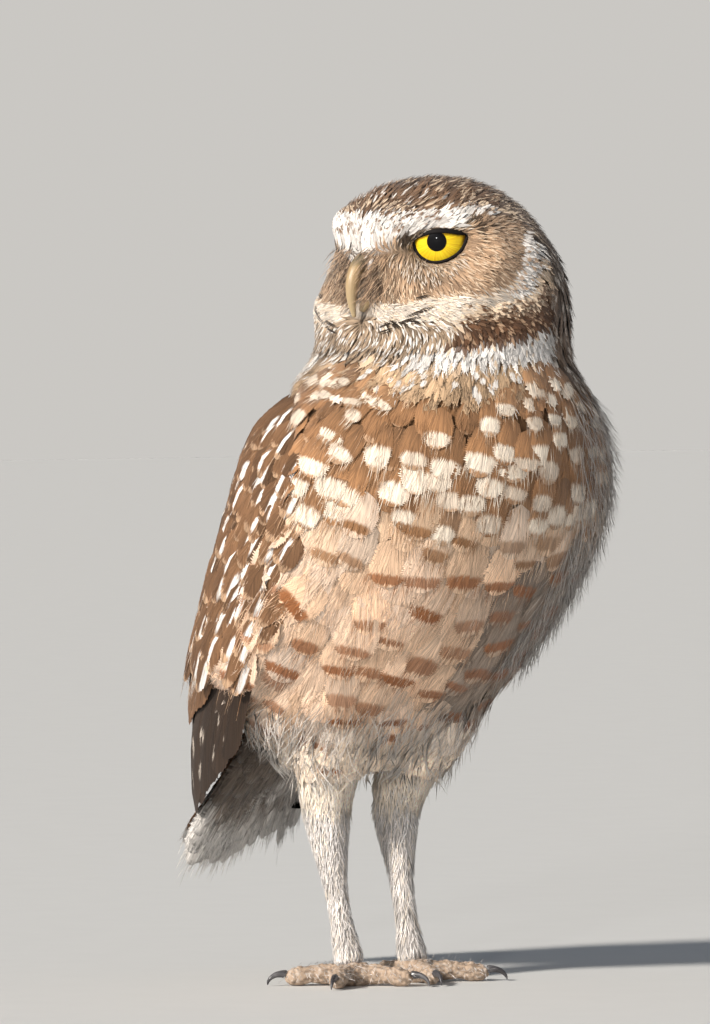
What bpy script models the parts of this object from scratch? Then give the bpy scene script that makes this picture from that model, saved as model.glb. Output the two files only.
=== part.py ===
"""Burrowing owl standing upright, as a still, life-size museum model.

Chest towards -Y, tail towards +Y, the bird's left towards +X, head turned over its
right wing. Sizes are written in millimetres and turned to metres where a mesh is made.
"""

import math

import bmesh
import bpy
import numpy as np

MM = 0.001

# Space left between two nodes that touch
GAP = 0.35

# Smooth tables that run down the bird. Each row is a height, then the centre x and y,
# the half width, the depth to the front and the depth to the back.
TORSO_STATIONS = (
    (182, 7.0, -21.0, 39.0, 38.0, 40.0),
    (176, 7.0, -20.5, 42.5, 41.0, 43.5),
    (165, 6.6, -19.5, 49.5, 45.0, 47.0),
    (153, 6.2, -17.5, 54.0, 47.0, 50.0),
    (139, 5.6, -14.5, 56.0, 48.5, 52.0),
    (125, 4.4, -9.5, 55.5, 48.5, 51.0),
    (111, 3.0, -3.5, 53.0, 46.0, 50.0),
    (98, 1.8, 2.5, 48.5, 42.0, 51.5),
    (85, 0.8, 8.0, 42.0, 36.0, 54.0),
    (74, 0.0, 10.5, 35.0, 27.0, 50.0),
    (66, 0.0, 11.5, 21.0, 17.0, 36.0),
)
MANTLE_STATIONS = (
    (182, 7.0, -21.0, 39.0, 38.0, 41.0),
    (176, 7.0, -20.5, 43.5, 41.0, 46.0),
    (165, 6.6, -19.0, 51.0, 43.0, 51.0),
    (153, 6.2, -17.0, 56.0, 45.0, 53.5),
    (139, 5.6, -14.0, 57.5, 46.0, 55.5),
    (125, 4.4, -8.5, 57.5, 47.0, 53.5),
    (111, 3.0, -2.5, 56.0, 45.0, 53.0),
    (97, 1.5, 4.0, 53.5, 41.0, 54.0),
    (83, 0.5, 11.0, 49.0, 36.0, 54.5),
    (69, -0.5, 18.0, 44.0, 30.0, 52.0),
    (55, -1.0, 25.0, 39.0, 25.0, 48.0),
    (40, -1.5, 31.0, 32.0, 20.0, 43.0),
)
BELLY_BOTTOM = (0.0, 16.0, 62.5)
NECK_BOTTOM = 175.0
TORSO_TOP = NECK_BOTTOM - GAP
# Heights of the rings of the torso under its even part, down to the belly
TORSO_EVEN_LOW = 82.0
TORSO_LOW_RINGS = (75.0, 69.0, 65.0, 63.0)
TORSO_RINGS = 12
TORSO_SIDES = 36
WING_RECESS = 5.5
NECK_RINGS = 4
# How late, going up, the neck takes the head's outline
NECK_EASE = 1.3

# The head is a set of rings about one upright axis. Each row is a height, the radius,
# and how far the ring stands forward.
HEAD_AXIS = (8.5, -21.0)
HEAD_TURN = math.radians(83)
HEAD_STATIONS = (
    (187.0, 37.4, 1.6),
    (194.0, 36.9, 1.0),
    (200.0, 36.2, 0.6),
    (206.0, 35.0, 0.8),
    (212.0, 33.2, 1.8),
    (218.0, 30.6, 3.0),
    (223.0, 27.2, 3.9),
    (227.5, 22.4, 4.2),
    (231.0, 16.8, 4.0),
    (233.3, 10.2, 3.7),
    (234.2, 4.4, 3.5),
)
HEAD_TOP = 234.4
HEAD_BOTTOM = 187.0
HEAD_SIDES = 52
# Heights of the head's rings above its even part
HEAD_EVEN_TOP = 214.0
HEAD_EVEN_RINGS = 7
HEAD_UPPER_RINGS = (217.0, 219.5, 222.0, 224.5, 227.0, 229.4, 231.5, 233.2, 234.1)

# Forms of the face. Arcs are measured round the head from the middle of the face.
FACE_RADIUS = 33.0
FACE_TOP = (224.0, 230.0)
HOLLOW_DEPTH = 3.6
HOLLOW_SPREAD = 8.0
HOLLOW_DROP = 1.5
HOLLOW_SQUASH = 1.1
UNDER_BROW_SQUASH = 1.9
DISC_RIM = 1.5
DISC_RIM_RADIUS = 20.5
DISC_RIM_SPREAD = 3.6
DISC_RIM_ARCS = (14.0, 28.0)
BROW = 3.1
BROW_HEIGHT = 220.0
BROW_SLOPE = 0.12
BROW_SPREAD = 4.4
BROW_ARC = 14.0
BROW_REACH = 16.0
LORES = 1.2
LORES_ARC = 9.0
LORES_REACH = 6.0
LORES_HEIGHT = 212.0
LORES_SPREAD = 7.0
FLAT_FACE = 2.8
FLAT_FACE_REACH = 15.0
FLAT_FACE_HEIGHTS = (204.0, 214.0)
CHIN_DEPTH = 3.4
CHIN_REACH = 5.0
CHIN_HEIGHT = 195.5
CHIN_SPREAD = 3.4

EYE_RADIUS = 9.5
EYE_RINGS = 8
EYE_SIDES = 16
EYE_AIM = math.radians(30)
EYE_HEIGHT = 216.6
CORNEA_FORWARD = 23.4
CORNEA_ASIDE = 21.0
LID_THICKNESS = 0.9
LID_HALF_WIDTH = 7.9
LID_ABOVE = 1.8
LID_BELOW = 7.4
LID_SLANT = 0.14
LID_SIDES = 24
# How deep the cut between the lids runs, as shares of the eye's radius
LID_CUT = (0.4, 2.4)

BILL_HALF_WIDTH = 4.0
BILL_HALF_DEPTH = 3.8
BILL_TAPER = 0.84
BILL_TAPER_EASE = 1.3
BILL_RINGS = 9
BILL_SIDES = 12
# The middle line of each half of the bill, as distances ahead of the head's axis and heights
BILL_LINE = ((26.0, 210.0), (32.8, 209.2), (36.6, 204.6), (37.4, 199.0), (36.6, 194.0))
LOWER_BILL_LINE = ((24.0, 200.0), (29.5, 197.8), (33.0, 195.6), (35.0, 193.6))
LOWER_BILL_HALF_WIDTHS = (3.4, 3.3, 3.0, 2.3, 1.2)
LOWER_BILL_HALF_HEIGHTS = (2.6, 2.5, 2.3, 1.8, 0.9)
NOSTRIL_RADIUS = 0.9
NOSTRIL = (34.6, 3.5, 208.6)
# The corner of the mouth, as an angle from the face and a height, and the line's width
GAPE_ANGLE = math.radians(24)
GAPE_HEIGHTS = (199.6, 198.6, 196.4)
GAPE_HALF_WIDTH = 0.55

# Ankle, knee and foot of each leg
LEGS = {
    "right": ((-12.8, 9.4, 53.0), (-17.0, -4.0, 86.0), (-11.5, -1.0, 6.0)),
    "left": ((12.6, 9.8, 53.0), (16.8, -8.5, 87.0), (11.6, -0.5, 6.0)),
}
# Thickness of the feathered shin and shank at even steps, from the top down
SHIN_RADII = (14.2, 13.2, 11.0, 8.6, 7.6)
SHANK_RADII = (7.2, 6.3, 4.7, 3.7, 3.4, 3.9, 4.9)
SHANK_START = 0.04
SHANK_BOW = 1.2
LEG_SIDES = 12

# Toes. Each row is the toe's heading from straight ahead, towards the bird's left, in
# degrees, its length from the middle of the foot, and the length of its claw.
TOES = {
    "right": ((168, 13.0, 8.0), (32, 18.5, 9.5), (-48, 19.0, 9.5), (-114, 18.0, 9.5)),
    "left": ((-168, 13.0, 8.0), (-15, 16.5, 9.5), (60, 21.0, 10.0), (124, 17.0, 9.0)),
}
TOE_RADIUS = 2.9
TOE_START = 0.12
TOE_TAPER = (1.08, 0.88)
TOE_PADS = 2.5
TOE_PAD_RISE = 0.13
TOE_HEIGHT = 2.3
TOE_ARCH = 1.1
TOE_RINGS = 6
TOE_SIDES = 9
CLAW_RADIUS = 1.45
CLAW_BEND = math.radians(96)
CLAW_STRETCH = 1.12
CLAW_DROP = 0.72
CLAW_LIFT = 1.0
CLAW_SPRING = 0.25
CLAW_LOWEST = 0.45
CLAW_TAPER = 0.86
CLAW_RINGS = 6
SOLE_RADIUS = 6.2
SOLE_HEIGHT = 3.4

# Feather tiers of a folded wing, from the lowest tier up. Roots and tips run between two
# corners given as an angle round the body, from the breast, and a height.
WING_TIERS = (
    {"count": 7, "roots": ((100, 100), (140, 88)), "tips": ((118, 62), (160, 56)), "sag": 14.0,
     "width": 9.6, "lift": (-4.2, -2.4)},
    {"count": 8, "roots": ((90, 126), (154, 124)), "tips": ((118, 80), (172, 76)), "sag": 4.0,
     "width": 12.0, "lift": (-4.4, -0.9)},
    {"count": 8, "roots": ((82, 146), (148, 148)), "tips": ((98, 108), (162, 104)), "sag": 2.0,
     "width": 11.6, "lift": (-4.6, 0.4)},
    {"count": 6, "roots": ((78, 160), (138, 164)), "tips": ((86, 130), (152, 128)), "sag": 1.0,
     "width": 13.0, "lift": (-4.6, 1.4)},
)
# How far the wing's skin and its inner face lie under the tips of its feathers
WING_SKIN = -3.6
WING_CROWN = 0.9
WING_INSIDE = 5.6
WING_BED = 4.0
VANE_THICKNESS = 0.6
VANE_TILT = 0.11
VANE_STEPS = 5
# The width of a wing's and a tail's vane at steps from root to tip, as shares
VANE_PLACES = (0, 0.25, 0.5, 0.8, 1)
WING_VANE_SHARES = (0.62, 0.95, 1.0, 0.9, 0.36)
TAIL_VANE_SHARES = (0.5, 0.8, 0.95, 1.0, 0.5)
# The wing's front and back edge, as heights and angles round the body from the breast
WING_FRONT = (
    (174, 98), (168, 84), (158, 74), (140, 69), (120, 72), (104, 80), (90, 92), (78, 104), (66, 120)
)
WING_BACK = (
    (174, 112), (168, 127), (158, 141), (140, 154), (120, 163), (104, 168), (90, 169), (78, 166), (66, 158)
)
WING_TOP = 173.5
WING_LOW = 66.0
WING_ROWS = 10
WING_COLUMNS = 6
# The wing's bed deepens over these heights, and fades out near its top over these
WING_BED_HEIGHTS = (84.0, 104.0)
WING_COVER_TOP = (164.0, 172.0)
# How softly the bed's edges rise, before and past the wing's front and back edge
WING_FRONT_EASE = math.radians(7)
WING_BACK_EASE = (math.radians(3.5), math.radians(14))

TAIL_ROOT = (-1.0, 40.0, 80.0)
TAIL_LENGTH = 57.0
TAIL_SPREAD = math.radians(32)
TAIL_DROP = math.radians(52)
TAIL_ROLL = math.radians(13)
# The soft core of the tail, as distances along it and under it, and its thickness
TAIL_CORE = ((-20, 4), (-8, 6), (6, 8), (18, 7), (30, 5))
TAIL_CORE_WIDTHS = (23.0, 26.5, 25.5, 20.0, 10.0)
TAIL_CORE_HEIGHTS = (16.0, 16.0, 13.0, 8.0, 3.5)
TAIL_SIDES = 12
# How far the outer roots stand from the middle, the outer vanes fall short of the
# middle ones, and the coverts close in on the middle towards their tips
TAIL_ROOT_SPREAD = 7.5
TAIL_ROUNDING = 0.09
TAIL_COVERT_FALL = 0.45
# Tiers of the tail: count, length, share of the spread, place over the middle, half width
TAIL_TIERS = (
    (10, TAIL_LENGTH, 1.0, 0.0, 5.4),
    (4, 30.0, 0.7, 4.4, 7.4),
    (4, 32.0, 0.7, -5.0, 7.8),
)


def clear_scene():
    """Removes what the file opened with."""
    for obj in list(bpy.data.objects):
        bpy.data.objects.remove(obj)


def finish(name, colour, roughness):
    """A plain surface finish for the solids."""
    material = bpy.data.materials.new(name)
    material.use_nodes = True
    shader = material.node_tree.nodes["Principled BSDF"]
    shader.inputs["Base Color"].default_value = (*colour, 1.0)
    shader.inputs["Roughness"].default_value = roughness
    shader.inputs["Metallic"].default_value = 0.0
    return material


def unit(vector):
    """The same direction with length one, for one vector or a row of them."""
    vector = np.asarray(vector, float)
    return vector / np.linalg.norm(vector, axis=-1, keepdims=True)


def smooth_step(value, low, high):
    """0 below low, 1 above high, and a soft rise between."""
    t = np.clip((np.asarray(value, float) - low) / (high - low), 0.0, 1.0)
    return t * t * (3 - 2 * t)


def bell(value, middle, spread):
    """A bump of height one."""
    return np.exp(-(((value - middle) / spread) ** 2))


def along(stations, height):
    """Smooth values of a table of stations at one or more heights."""
    table = np.asarray(stations, float)
    table = table[np.argsort(table[:, 0])]
    knots, values = table[:, 0], table[:, 1:]
    slopes = np.gradient(values, knots, axis=0)
    height = np.clip(np.asarray(height, float), knots[0], knots[-1])
    i = np.clip(np.searchsorted(knots, height) - 1, 0, len(knots) - 2)
    step = (knots[i + 1] - knots[i])[..., None]
    t = (height - knots[i])[..., None] / step
    return (
        values[i] * (2 * t**3 - 3 * t**2 + 1)
        + values[i + 1] * (3 * t**2 - 2 * t**3)
        + slopes[i] * step * (t**3 - 2 * t**2 + t)
        + slopes[i + 1] * step * (t**3 - t**2)
    )


def round_body(stations, height, angle, lift=0.0):
    """A point of the body. The angle runs from the breast, and is positive on the left."""
    centre_x, centre_y, half_width, front, back = np.moveaxis(along(stations, height), -1, 0)
    depth = np.where(np.cos(angle) > 0, front, back)
    x = centre_x + (half_width + lift) * np.sin(angle)
    y = centre_y - (depth + lift) * np.cos(angle)
    return np.stack([x, y, np.broadcast_to(height, np.shape(x))], axis=-1)


def edge_angle(edge, height):
    """The angle in radians at which a wing's edge lies at a height."""
    table = np.array(sorted(edge), float)
    return np.radians(np.interp(height, table[:, 0], table[:, 1]))


def make_object(name, points, faces, material=None):
    """A mesh object from points in millimetres, with its faces turned outwards."""
    mesh = bpy.data.meshes.new(name)
    mesh.from_pydata([tuple(p) for p in np.asarray(points) * MM], [], faces)
    shape = bmesh.new()
    shape.from_mesh(mesh)
    bmesh.ops.triangulate(shape, faces=shape.faces)
    bmesh.ops.recalc_face_normals(shape, faces=shape.faces)
    shape.to_mesh(mesh)
    shape.free()
    obj = bpy.data.objects.new(name, mesh)
    bpy.context.scene.collection.objects.link(obj)
    if material:
        mesh.materials.append(material)
    return obj


def loft(name, rings, material=None, first=None, last=None):
    """A closed skin through rings of points, with a pole at each end."""
    rings = np.asarray(rings, float)
    count, sides = rings.shape[:2]
    first = rings[0].mean(axis=0) if first is None else np.asarray(first, float)
    last = rings[-1].mean(axis=0) if last is None else np.asarray(last, float)
    points = np.vstack([rings.reshape(-1, 3), first, last])
    faces = []
    for i in range(count - 1):
        for j in range(sides):
            k = (j + 1) % sides
            faces.append((i * sides + j, i * sides + k, (i + 1) * sides + k, (i + 1) * sides + j))
    for j in range(sides):
        k = (j + 1) % sides
        faces.append((count * sides, k, j))
        faces.append((count * sides + 1, (count - 1) * sides + j, (count - 1) * sides + k))
    return make_object(name, points, faces, material)


def frames_along(path, up):
    """Side and up directions square to a path."""
    path = np.asarray(path, float)
    ahead = unit(np.gradient(path, axis=0))
    side = unit(np.cross(ahead, np.broadcast_to(up, ahead.shape)))
    return side, np.cross(side, ahead)


def tube(name, path, half_widths, half_heights, sides, material=None, up=(0, 0, 1), reach=0.6):
    """A closed round tube along a path, with domed ends."""
    path = np.asarray(path, float)
    side, top = frames_along(path, up)
    turn = np.linspace(0, 2 * math.pi, sides, endpoint=False)
    rings = (
        path[:, None]
        + side[:, None] * (np.cos(turn)[None, :, None] * np.asarray(half_widths)[:, None, None])
        + top[:, None] * (np.sin(turn)[None, :, None] * np.asarray(half_heights)[:, None, None])
    )
    first = path[0] - unit(path[1] - path[0]) * half_heights[0] * reach
    last = path[-1] + unit(path[-1] - path[-2]) * half_heights[-1] * reach
    return loft(name, rings, material, first, last)


def bend_through(points, count):
    """Evenly spaced points on one smooth curve through a few points."""
    points = np.asarray(points, float)
    steps = np.linalg.norm(np.diff(points, axis=0), axis=1)
    place = np.concatenate([[0], np.cumsum(steps)])
    table = np.column_stack([place, points])
    return along(table, np.linspace(0, place[-1], count))


def vane(name, path, normals, half_widths, thickness, tilt=0.0):
    """One feather's vane, a thin closed plate, split into triangles alike on both faces.

    The tilt lifts one edge, so that the vanes of a row lie over one another.
    """
    path = np.asarray(path, float)
    normals = unit(normals)
    ahead = unit(np.gradient(path, axis=0))
    side = unit(np.cross(ahead, normals)) + normals * tilt
    reach = side * np.asarray(half_widths, float)[:, None]
    half_thick = normals * thickness / 2
    rings = np.stack(
        [path - reach + half_thick, path + reach + half_thick, path + reach - half_thick,
         path - reach - half_thick], axis=1
    )
    faces = []
    for i in range(len(path) - 1):
        a, b = i * 4, (i + 1) * 4
        faces += [(a, b, b + 1), (a, b + 1, a + 1)]
        faces += [(a + 3, b + 2, b + 3), (a + 3, a + 2, b + 2)]
        faces += [(a + 1, b + 1, b + 2), (a + 1, b + 2, a + 2)]
        faces += [(a + 3, b + 3, b), (a + 3, b, a)]
    last = (len(path) - 1) * 4
    for a in (0, last):
        faces += [(a, a + 1, a + 2), (a, a + 2, a + 3)]
    return make_object(name, rings.reshape(-1, 3), faces)


def evaluated_mesh(obj):
    """The object's mesh with its modifiers applied."""
    bpy.context.view_layer.update()
    graph = bpy.context.evaluated_depsgraph_get()
    return bpy.data.meshes.new_from_object(obj.evaluated_get(graph))


def apply_modifiers(obj):
    """Replaces the object's mesh by what its modifiers make of it."""
    made = evaluated_mesh(obj)
    old = obj.data
    obj.modifiers.clear()
    obj.data = made
    bpy.data.meshes.remove(old)


def keep_largest(obj):
    """Keeps only the largest closed surface of the object's mesh."""
    shape = bmesh.new()
    shape.from_mesh(obj.data)
    bmesh.ops.remove_doubles(shape, verts=shape.verts, dist=1e-7)
    shape.faces.ensure_lookup_table()
    seen, islands = set(), []
    for face in shape.faces:
        if face.index in seen:
            continue
        island, front = [], [face]
        seen.add(face.index)
        while front:
            here = front.pop()
            island.append(here)
            for edge in here.edges:
                for other in edge.link_faces:
                    if other.index not in seen:
                        seen.add(other.index)
                        front.append(other)
        islands.append(island)
    islands.sort(key=lambda island: sum(face.calc_area() for face in island), reverse=True)
    for island in islands[1:]:
        bmesh.ops.delete(shape, geom=island, context="FACES")
    loose = [v for v in shape.verts if not v.link_faces]
    bmesh.ops.delete(shape, geom=loose, context="VERTS")
    shape.to_mesh(obj.data)
    shape.free()


def cut(obj, cutter, solver="EXACT"):
    """Takes a cutter's shape out of the object and removes the cutter."""
    modifier = obj.modifiers.new("cut", "BOOLEAN")
    modifier.operation = "DIFFERENCE"
    modifier.object = cutter
    modifier.solver = solver
    apply_modifiers(obj)
    bpy.data.objects.remove(cutter)
    keep_largest(obj)


def fuse(obj, pieces, solver="MANIFOLD"):
    """Joins a collection of closed pieces to the object as one body."""
    group = bpy.data.collections.new("pieces")
    bpy.context.scene.collection.children.link(group)
    for piece in pieces:
        bpy.context.scene.collection.objects.unlink(piece)
        group.objects.link(piece)
    modifier = obj.modifiers.new("fuse", "BOOLEAN")
    modifier.operation = "UNION"
    modifier.operand_type = "COLLECTION"
    modifier.collection = group
    modifier.solver = solver
    apply_modifiers(obj)
    for piece in list(group.objects):
        bpy.data.objects.remove(piece)
    bpy.data.collections.remove(group)
    keep_largest(obj)


def grown_copy(obj, by):
    """A copy of the object's shape, grown by a small distance on every side."""
    mesh = obj.data.copy()
    shape = bmesh.new()
    shape.from_mesh(mesh)
    bmesh.ops.triangulate(shape, faces=shape.faces)
    shape.normal_update()
    moved = [v.co + v.normal * (by * MM * v.calc_shell_factor()) for v in shape.verts]
    for v, place in zip(shape.verts, moved):
        v.co = place
    shape.to_mesh(mesh)
    shape.free()
    copy = bpy.data.objects.new("grown", mesh)
    bpy.context.scene.collection.objects.link(copy)
    return copy


def keep_clear(obj, *neighbours, solver="EXACT"):
    """Cuts the object back so that it meets each neighbour with the gap between nodes."""
    for neighbour in neighbours:
        cut(obj, grown_copy(neighbour, GAP), solver)


def cut_flat(obj, height):
    """Gives the object a flat at a height, and drops what is below."""
    shape = bmesh.new()
    shape.from_mesh(obj.data)
    found = bmesh.ops.bisect_plane(
        shape, geom=[*shape.verts, *shape.edges, *shape.faces], plane_co=(0, 0, height * MM),
        plane_no=(0, 0, -1), clear_outer=True, dist=1e-7,
    )
    edges = [g for g in found["geom_cut"] if isinstance(g, bmesh.types.BMEdge)]
    bmesh.ops.holes_fill(shape, edges=edges, sides=0)
    bmesh.ops.recalc_face_normals(shape, faces=shape.faces)
    shape.to_mesh(obj.data)
    shape.free()


def shade(obj, angle=35):
    """Smooth shading with the real corners kept."""
    obj.data.shade_smooth()
    obj.data.set_sharp_from_angle(angle=math.radians(angle))


def head_directions():
    """The way the head faces, and the way its left side faces."""
    ahead = np.array([-math.sin(HEAD_TURN), -math.cos(HEAD_TURN), 0.0])
    left = np.array([-ahead[1], ahead[0], 0.0])
    return ahead, left


def head_point(forward, aside, height):
    """A point by its distances ahead and to the left of the head's axis."""
    ahead, left = head_directions()
    return np.array([*HEAD_AXIS, height]) + ahead * forward + left * aside


def eye_centre(side):
    """Middle of an eyeball, and the way it looks. The side is 1 for the left eye."""
    ahead, left = head_directions()
    aim = ahead * math.cos(EYE_AIM) + left * side * math.sin(EYE_AIM)
    cornea = head_point(CORNEA_FORWARD, CORNEA_ASIDE * side, EYE_HEIGHT)
    return cornea - aim * EYE_RADIUS, aim


def head_radius(angle, height):
    """The head's radius at an angle from its face, with brows, discs and cheeks."""
    radius = along(HEAD_STATIONS, height)[..., 0]
    arc = np.abs(angle) * FACE_RADIUS
    eye_arc = math.atan2(CORNEA_ASIDE, CORNEA_FORWARD) * FACE_RADIUS
    rise = height - EYE_HEIGHT + HOLLOW_DROP
    from_eye = np.hypot(arc - eye_arc, rise * HOLLOW_SQUASH)
    squash = np.where(rise > 0, UNDER_BROW_SQUASH, HOLLOW_SQUASH)
    forms = -HOLLOW_DEPTH * bell(np.hypot(arc - eye_arc, rise * squash), 0, HOLLOW_SPREAD)
    forms += DISC_RIM * bell(from_eye, DISC_RIM_RADIUS, DISC_RIM_SPREAD) * smooth_step(arc, *DISC_RIM_ARCS)
    brow_height = BROW_HEIGHT + BROW_SLOPE * arc
    forms += BROW * bell(height, brow_height, BROW_SPREAD) * bell(arc, BROW_ARC, BROW_REACH)
    forms += LORES * bell(arc, LORES_ARC, LORES_REACH) * bell(height, LORES_HEIGHT, LORES_SPREAD)
    forms -= FLAT_FACE * bell(arc, 0, FLAT_FACE_REACH) * (1 - smooth_step(height, *FLAT_FACE_HEIGHTS))
    forms -= CHIN_DEPTH * bell(arc, 0, CHIN_REACH) * bell(height, CHIN_HEIGHT, CHIN_SPREAD)
    return radius + forms * (1 - smooth_step(height, *FACE_TOP))


def head_ring(height, turn):
    """One ring of the head's surface. The turn is measured from the face to its left."""
    ahead, left = head_directions()
    signed = np.arctan2(np.sin(turn), np.cos(turn))
    radius = head_radius(signed, np.full(len(turn), float(height)))
    forward = along(HEAD_STATIONS, np.array(float(height)))[..., 1]
    spokes = np.cos(turn)[:, None] * ahead + np.sin(turn)[:, None] * left
    return np.array([*HEAD_AXIS, height]) + ahead * forward + radius[:, None] * spokes


def ball(name, centre, radius, rings=12, sides=20, material=None):
    """A closed sphere."""
    steps = np.linspace(0, math.pi, rings + 1)[1:-1]
    turn = np.linspace(0, 2 * math.pi, sides, endpoint=False)
    centre = np.asarray(centre, float)
    shape = [
        centre + radius * np.stack(
            [math.sin(s) * np.cos(turn), math.sin(s) * np.sin(turn), np.full(sides, math.cos(s))], axis=-1
        )
        for s in steps
    ]
    return loft(name, shape, material, centre + (0, 0, radius), centre - (0, 0, radius))


def lid_opening(side):
    """A cutter through the lids, flat above, round below, and lower at the inner corner."""
    centre, aim = eye_centre(side)
    outward = unit(np.cross((0, 0, 1), aim)) * side
    turn = np.linspace(0, 2 * math.pi, LID_SIDES, endpoint=False)
    across = LID_HALF_WIDTH * np.cos(turn)
    rise = np.where(np.sin(turn) > 0, LID_ABOVE, LID_BELOW) * np.sin(turn) + LID_SLANT * across
    outline = outward * across[:, None] + np.array([0, 0, 1.0]) * rise[:, None]
    return loft("opening", [centre + aim * EYE_RADIUS * share + outline for share in LID_CUT])


def gape(side):
    """A cutter for the line of the mouth, from beside the bill back to its corner."""
    angles = side * np.linspace(0.1, 1, len(GAPE_HEIGHTS)) * GAPE_ANGLE
    path = [head_ring(height, np.array([angle]))[0] for height, angle in zip(GAPE_HEIGHTS, angles)]
    width = np.full(len(path), GAPE_HALF_WIDTH)
    return tube("gape", path, width, width, 5)


def make_head(material):
    """The head with its brows, facial discs, sockets and lids."""
    heights = [*np.linspace(HEAD_BOTTOM + GAP, HEAD_EVEN_TOP, HEAD_EVEN_RINGS), *HEAD_UPPER_RINGS]
    turn = np.linspace(0, 2 * math.pi, HEAD_SIDES, endpoint=False)
    rings = [head_ring(height, turn) for height in heights]
    crown = head_point(HEAD_STATIONS[-1][2], 0, HEAD_TOP)
    head = loft("head", rings, material, last=crown)
    lid_radius = EYE_RADIUS + GAP + LID_THICKNESS
    lids = [ball("lid", eye_centre(side)[0], lid_radius, EYE_RINGS, EYE_SIDES) for side in (1, -1)]
    fuse(head, lids, "EXACT")
    for side in (1, -1):
        socket = ball("socket", eye_centre(side)[0], EYE_RADIUS + GAP, EYE_RINGS, EYE_SIDES)
        fuse(socket, [lid_opening(side)], "EXACT")
        cut(head, socket)
        cut(head, gape(side))
    return head


def make_eyes(material):
    """Two eyeballs in their sockets."""
    return [
        ball(f"eye_{name}", eye_centre(side)[0], EYE_RADIUS, EYE_RINGS, EYE_SIDES, material)
        for name, side in (("left", 1), ("right", -1))
    ]


def head_line(points, count):
    """A smooth curve in the head's middle plane, from distances ahead and heights."""
    flat = bend_through([(forward, 0, height) for forward, height in points], count)
    return np.array([head_point(forward, 0, height) for forward, _, height in flat])


def make_bill(head, material):
    """The hooked upper bill with its nostrils, and the lower bill under it."""
    ahead = head_directions()[0]
    path = head_line(BILL_LINE, BILL_RINGS)
    taper = 1 - BILL_TAPER * np.linspace(0, 1, BILL_RINGS) ** BILL_TAPER_EASE
    sizes = (BILL_HALF_WIDTH * taper, BILL_HALF_DEPTH * taper)
    upper = tube("bill_upper", path, *sizes, BILL_SIDES, material, up=ahead, reach=0.9)
    forward, aside, height = NOSTRIL
    for side in (1, -1):
        cut(upper, ball("nostril", head_point(forward, side * aside, height), NOSTRIL_RADIUS, 6, 10))
    low_path = head_line(LOWER_BILL_LINE, len(LOWER_BILL_HALF_WIDTHS))
    low_sizes = (LOWER_BILL_HALF_WIDTHS, LOWER_BILL_HALF_HEIGHTS)
    lower = tube("bill_lower", low_path, *low_sizes, BILL_SIDES, material)
    keep_clear(lower, upper, head, solver="MANIFOLD")
    keep_clear(upper, head)
    return [upper, lower]


def make_neck(material):
    """The feathered neck, a short length between head and body."""
    turn = np.linspace(-math.pi, math.pi, TORSO_SIDES, endpoint=False)
    rings = []
    for share in np.linspace(0, 1, NECK_RINGS):
        height = NECK_BOTTOM + (HEAD_BOTTOM - NECK_BOTTOM) * share
        body = round_body(TORSO_STATIONS, np.full(len(turn), height), turn)
        head = head_ring(HEAD_BOTTOM + GAP, turn + HEAD_TURN)
        head[:, 2] = height
        blend = share**NECK_EASE
        rings.append(body * (1 - blend) + head * blend)
    return loft("neck", rings, material)


def wing_cover(height, angle):
    """1 where a folded wing lies on the body, 0 on breast, belly and upper back."""
    off = np.abs(angle)
    front = edge_angle(WING_FRONT, height)
    back = edge_angle(WING_BACK, height)
    behind_front = smooth_step(off, front - WING_FRONT_EASE, front + WING_FRONT_EASE)
    past_back = smooth_step(off, back + WING_BACK_EASE[0], back + WING_BACK_EASE[1])
    return behind_front * (1 - past_back) * (1 - smooth_step(height, *WING_COVER_TOP))


def make_torso(material):
    """Breast, belly and back, with a shallow bed for each wing."""
    heights = [*np.linspace(TORSO_TOP, TORSO_EVEN_LOW, TORSO_RINGS), *TORSO_LOW_RINGS]
    turn = np.linspace(-math.pi, math.pi, TORSO_SIDES, endpoint=False)
    rings = []
    for height in heights:
        level = np.full(TORSO_SIDES, height)
        rings.append(round_body(TORSO_STATIONS, level, turn, -WING_RECESS * wing_cover(level, turn)))
    return loft("torso", rings, material, last=BELLY_BOTTOM)


def wing_slab(name, side, material):
    """The arm and skin of a folded wing, a curved plate that lies in its bed."""
    heights = np.linspace(WING_TOP, WING_LOW, WING_ROWS)
    steps = WING_COLUMNS
    outer, inner = [], []
    for height in heights:
        front, back = edge_angle(WING_FRONT, height), edge_angle(WING_BACK, height)
        angle = np.linspace(front + 0.06, back - 0.03, steps)
        level = np.full(steps, height)
        crown = np.sin(np.linspace(0, math.pi, steps))
        outer.append(round_body(MANTLE_STATIONS, level, side * angle, WING_SKIN + WING_CROWN * crown))
        depth = WING_INSIDE + WING_BED * smooth_step(height, *WING_BED_HEIGHTS)
        inner.append(round_body(MANTLE_STATIONS, level, side * angle, -depth))
    outer, inner = np.array(outer), np.array(inner)
    rows = len(heights)
    points = np.vstack([outer.reshape(-1, 3), inner.reshape(-1, 3)])
    under = rows * steps
    faces = []
    for i in range(rows - 1):
        for j in range(steps - 1):
            a, b, c, d = i * steps + j, i * steps + j + 1, (i + 1) * steps + j + 1, (i + 1) * steps + j
            faces += [(a, b, c), (a, c, d)]
            faces += [(under + a, under + c, under + b), (under + a, under + d, under + c)]
    border = [(0, j) for j in range(steps)]
    border += [(i, steps - 1) for i in range(1, rows)]
    border += [(rows - 1, j) for j in range(steps - 2, -1, -1)]
    border += [(i, 0) for i in range(rows - 2, 0, -1)]
    loop = [i * steps + j for i, j in border]
    for a, b in zip(loop, loop[1:] + loop[:1]):
        faces += [(a, under + a, under + b), (a, under + b, b)]
    return make_object(name, points, faces, material)


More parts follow.
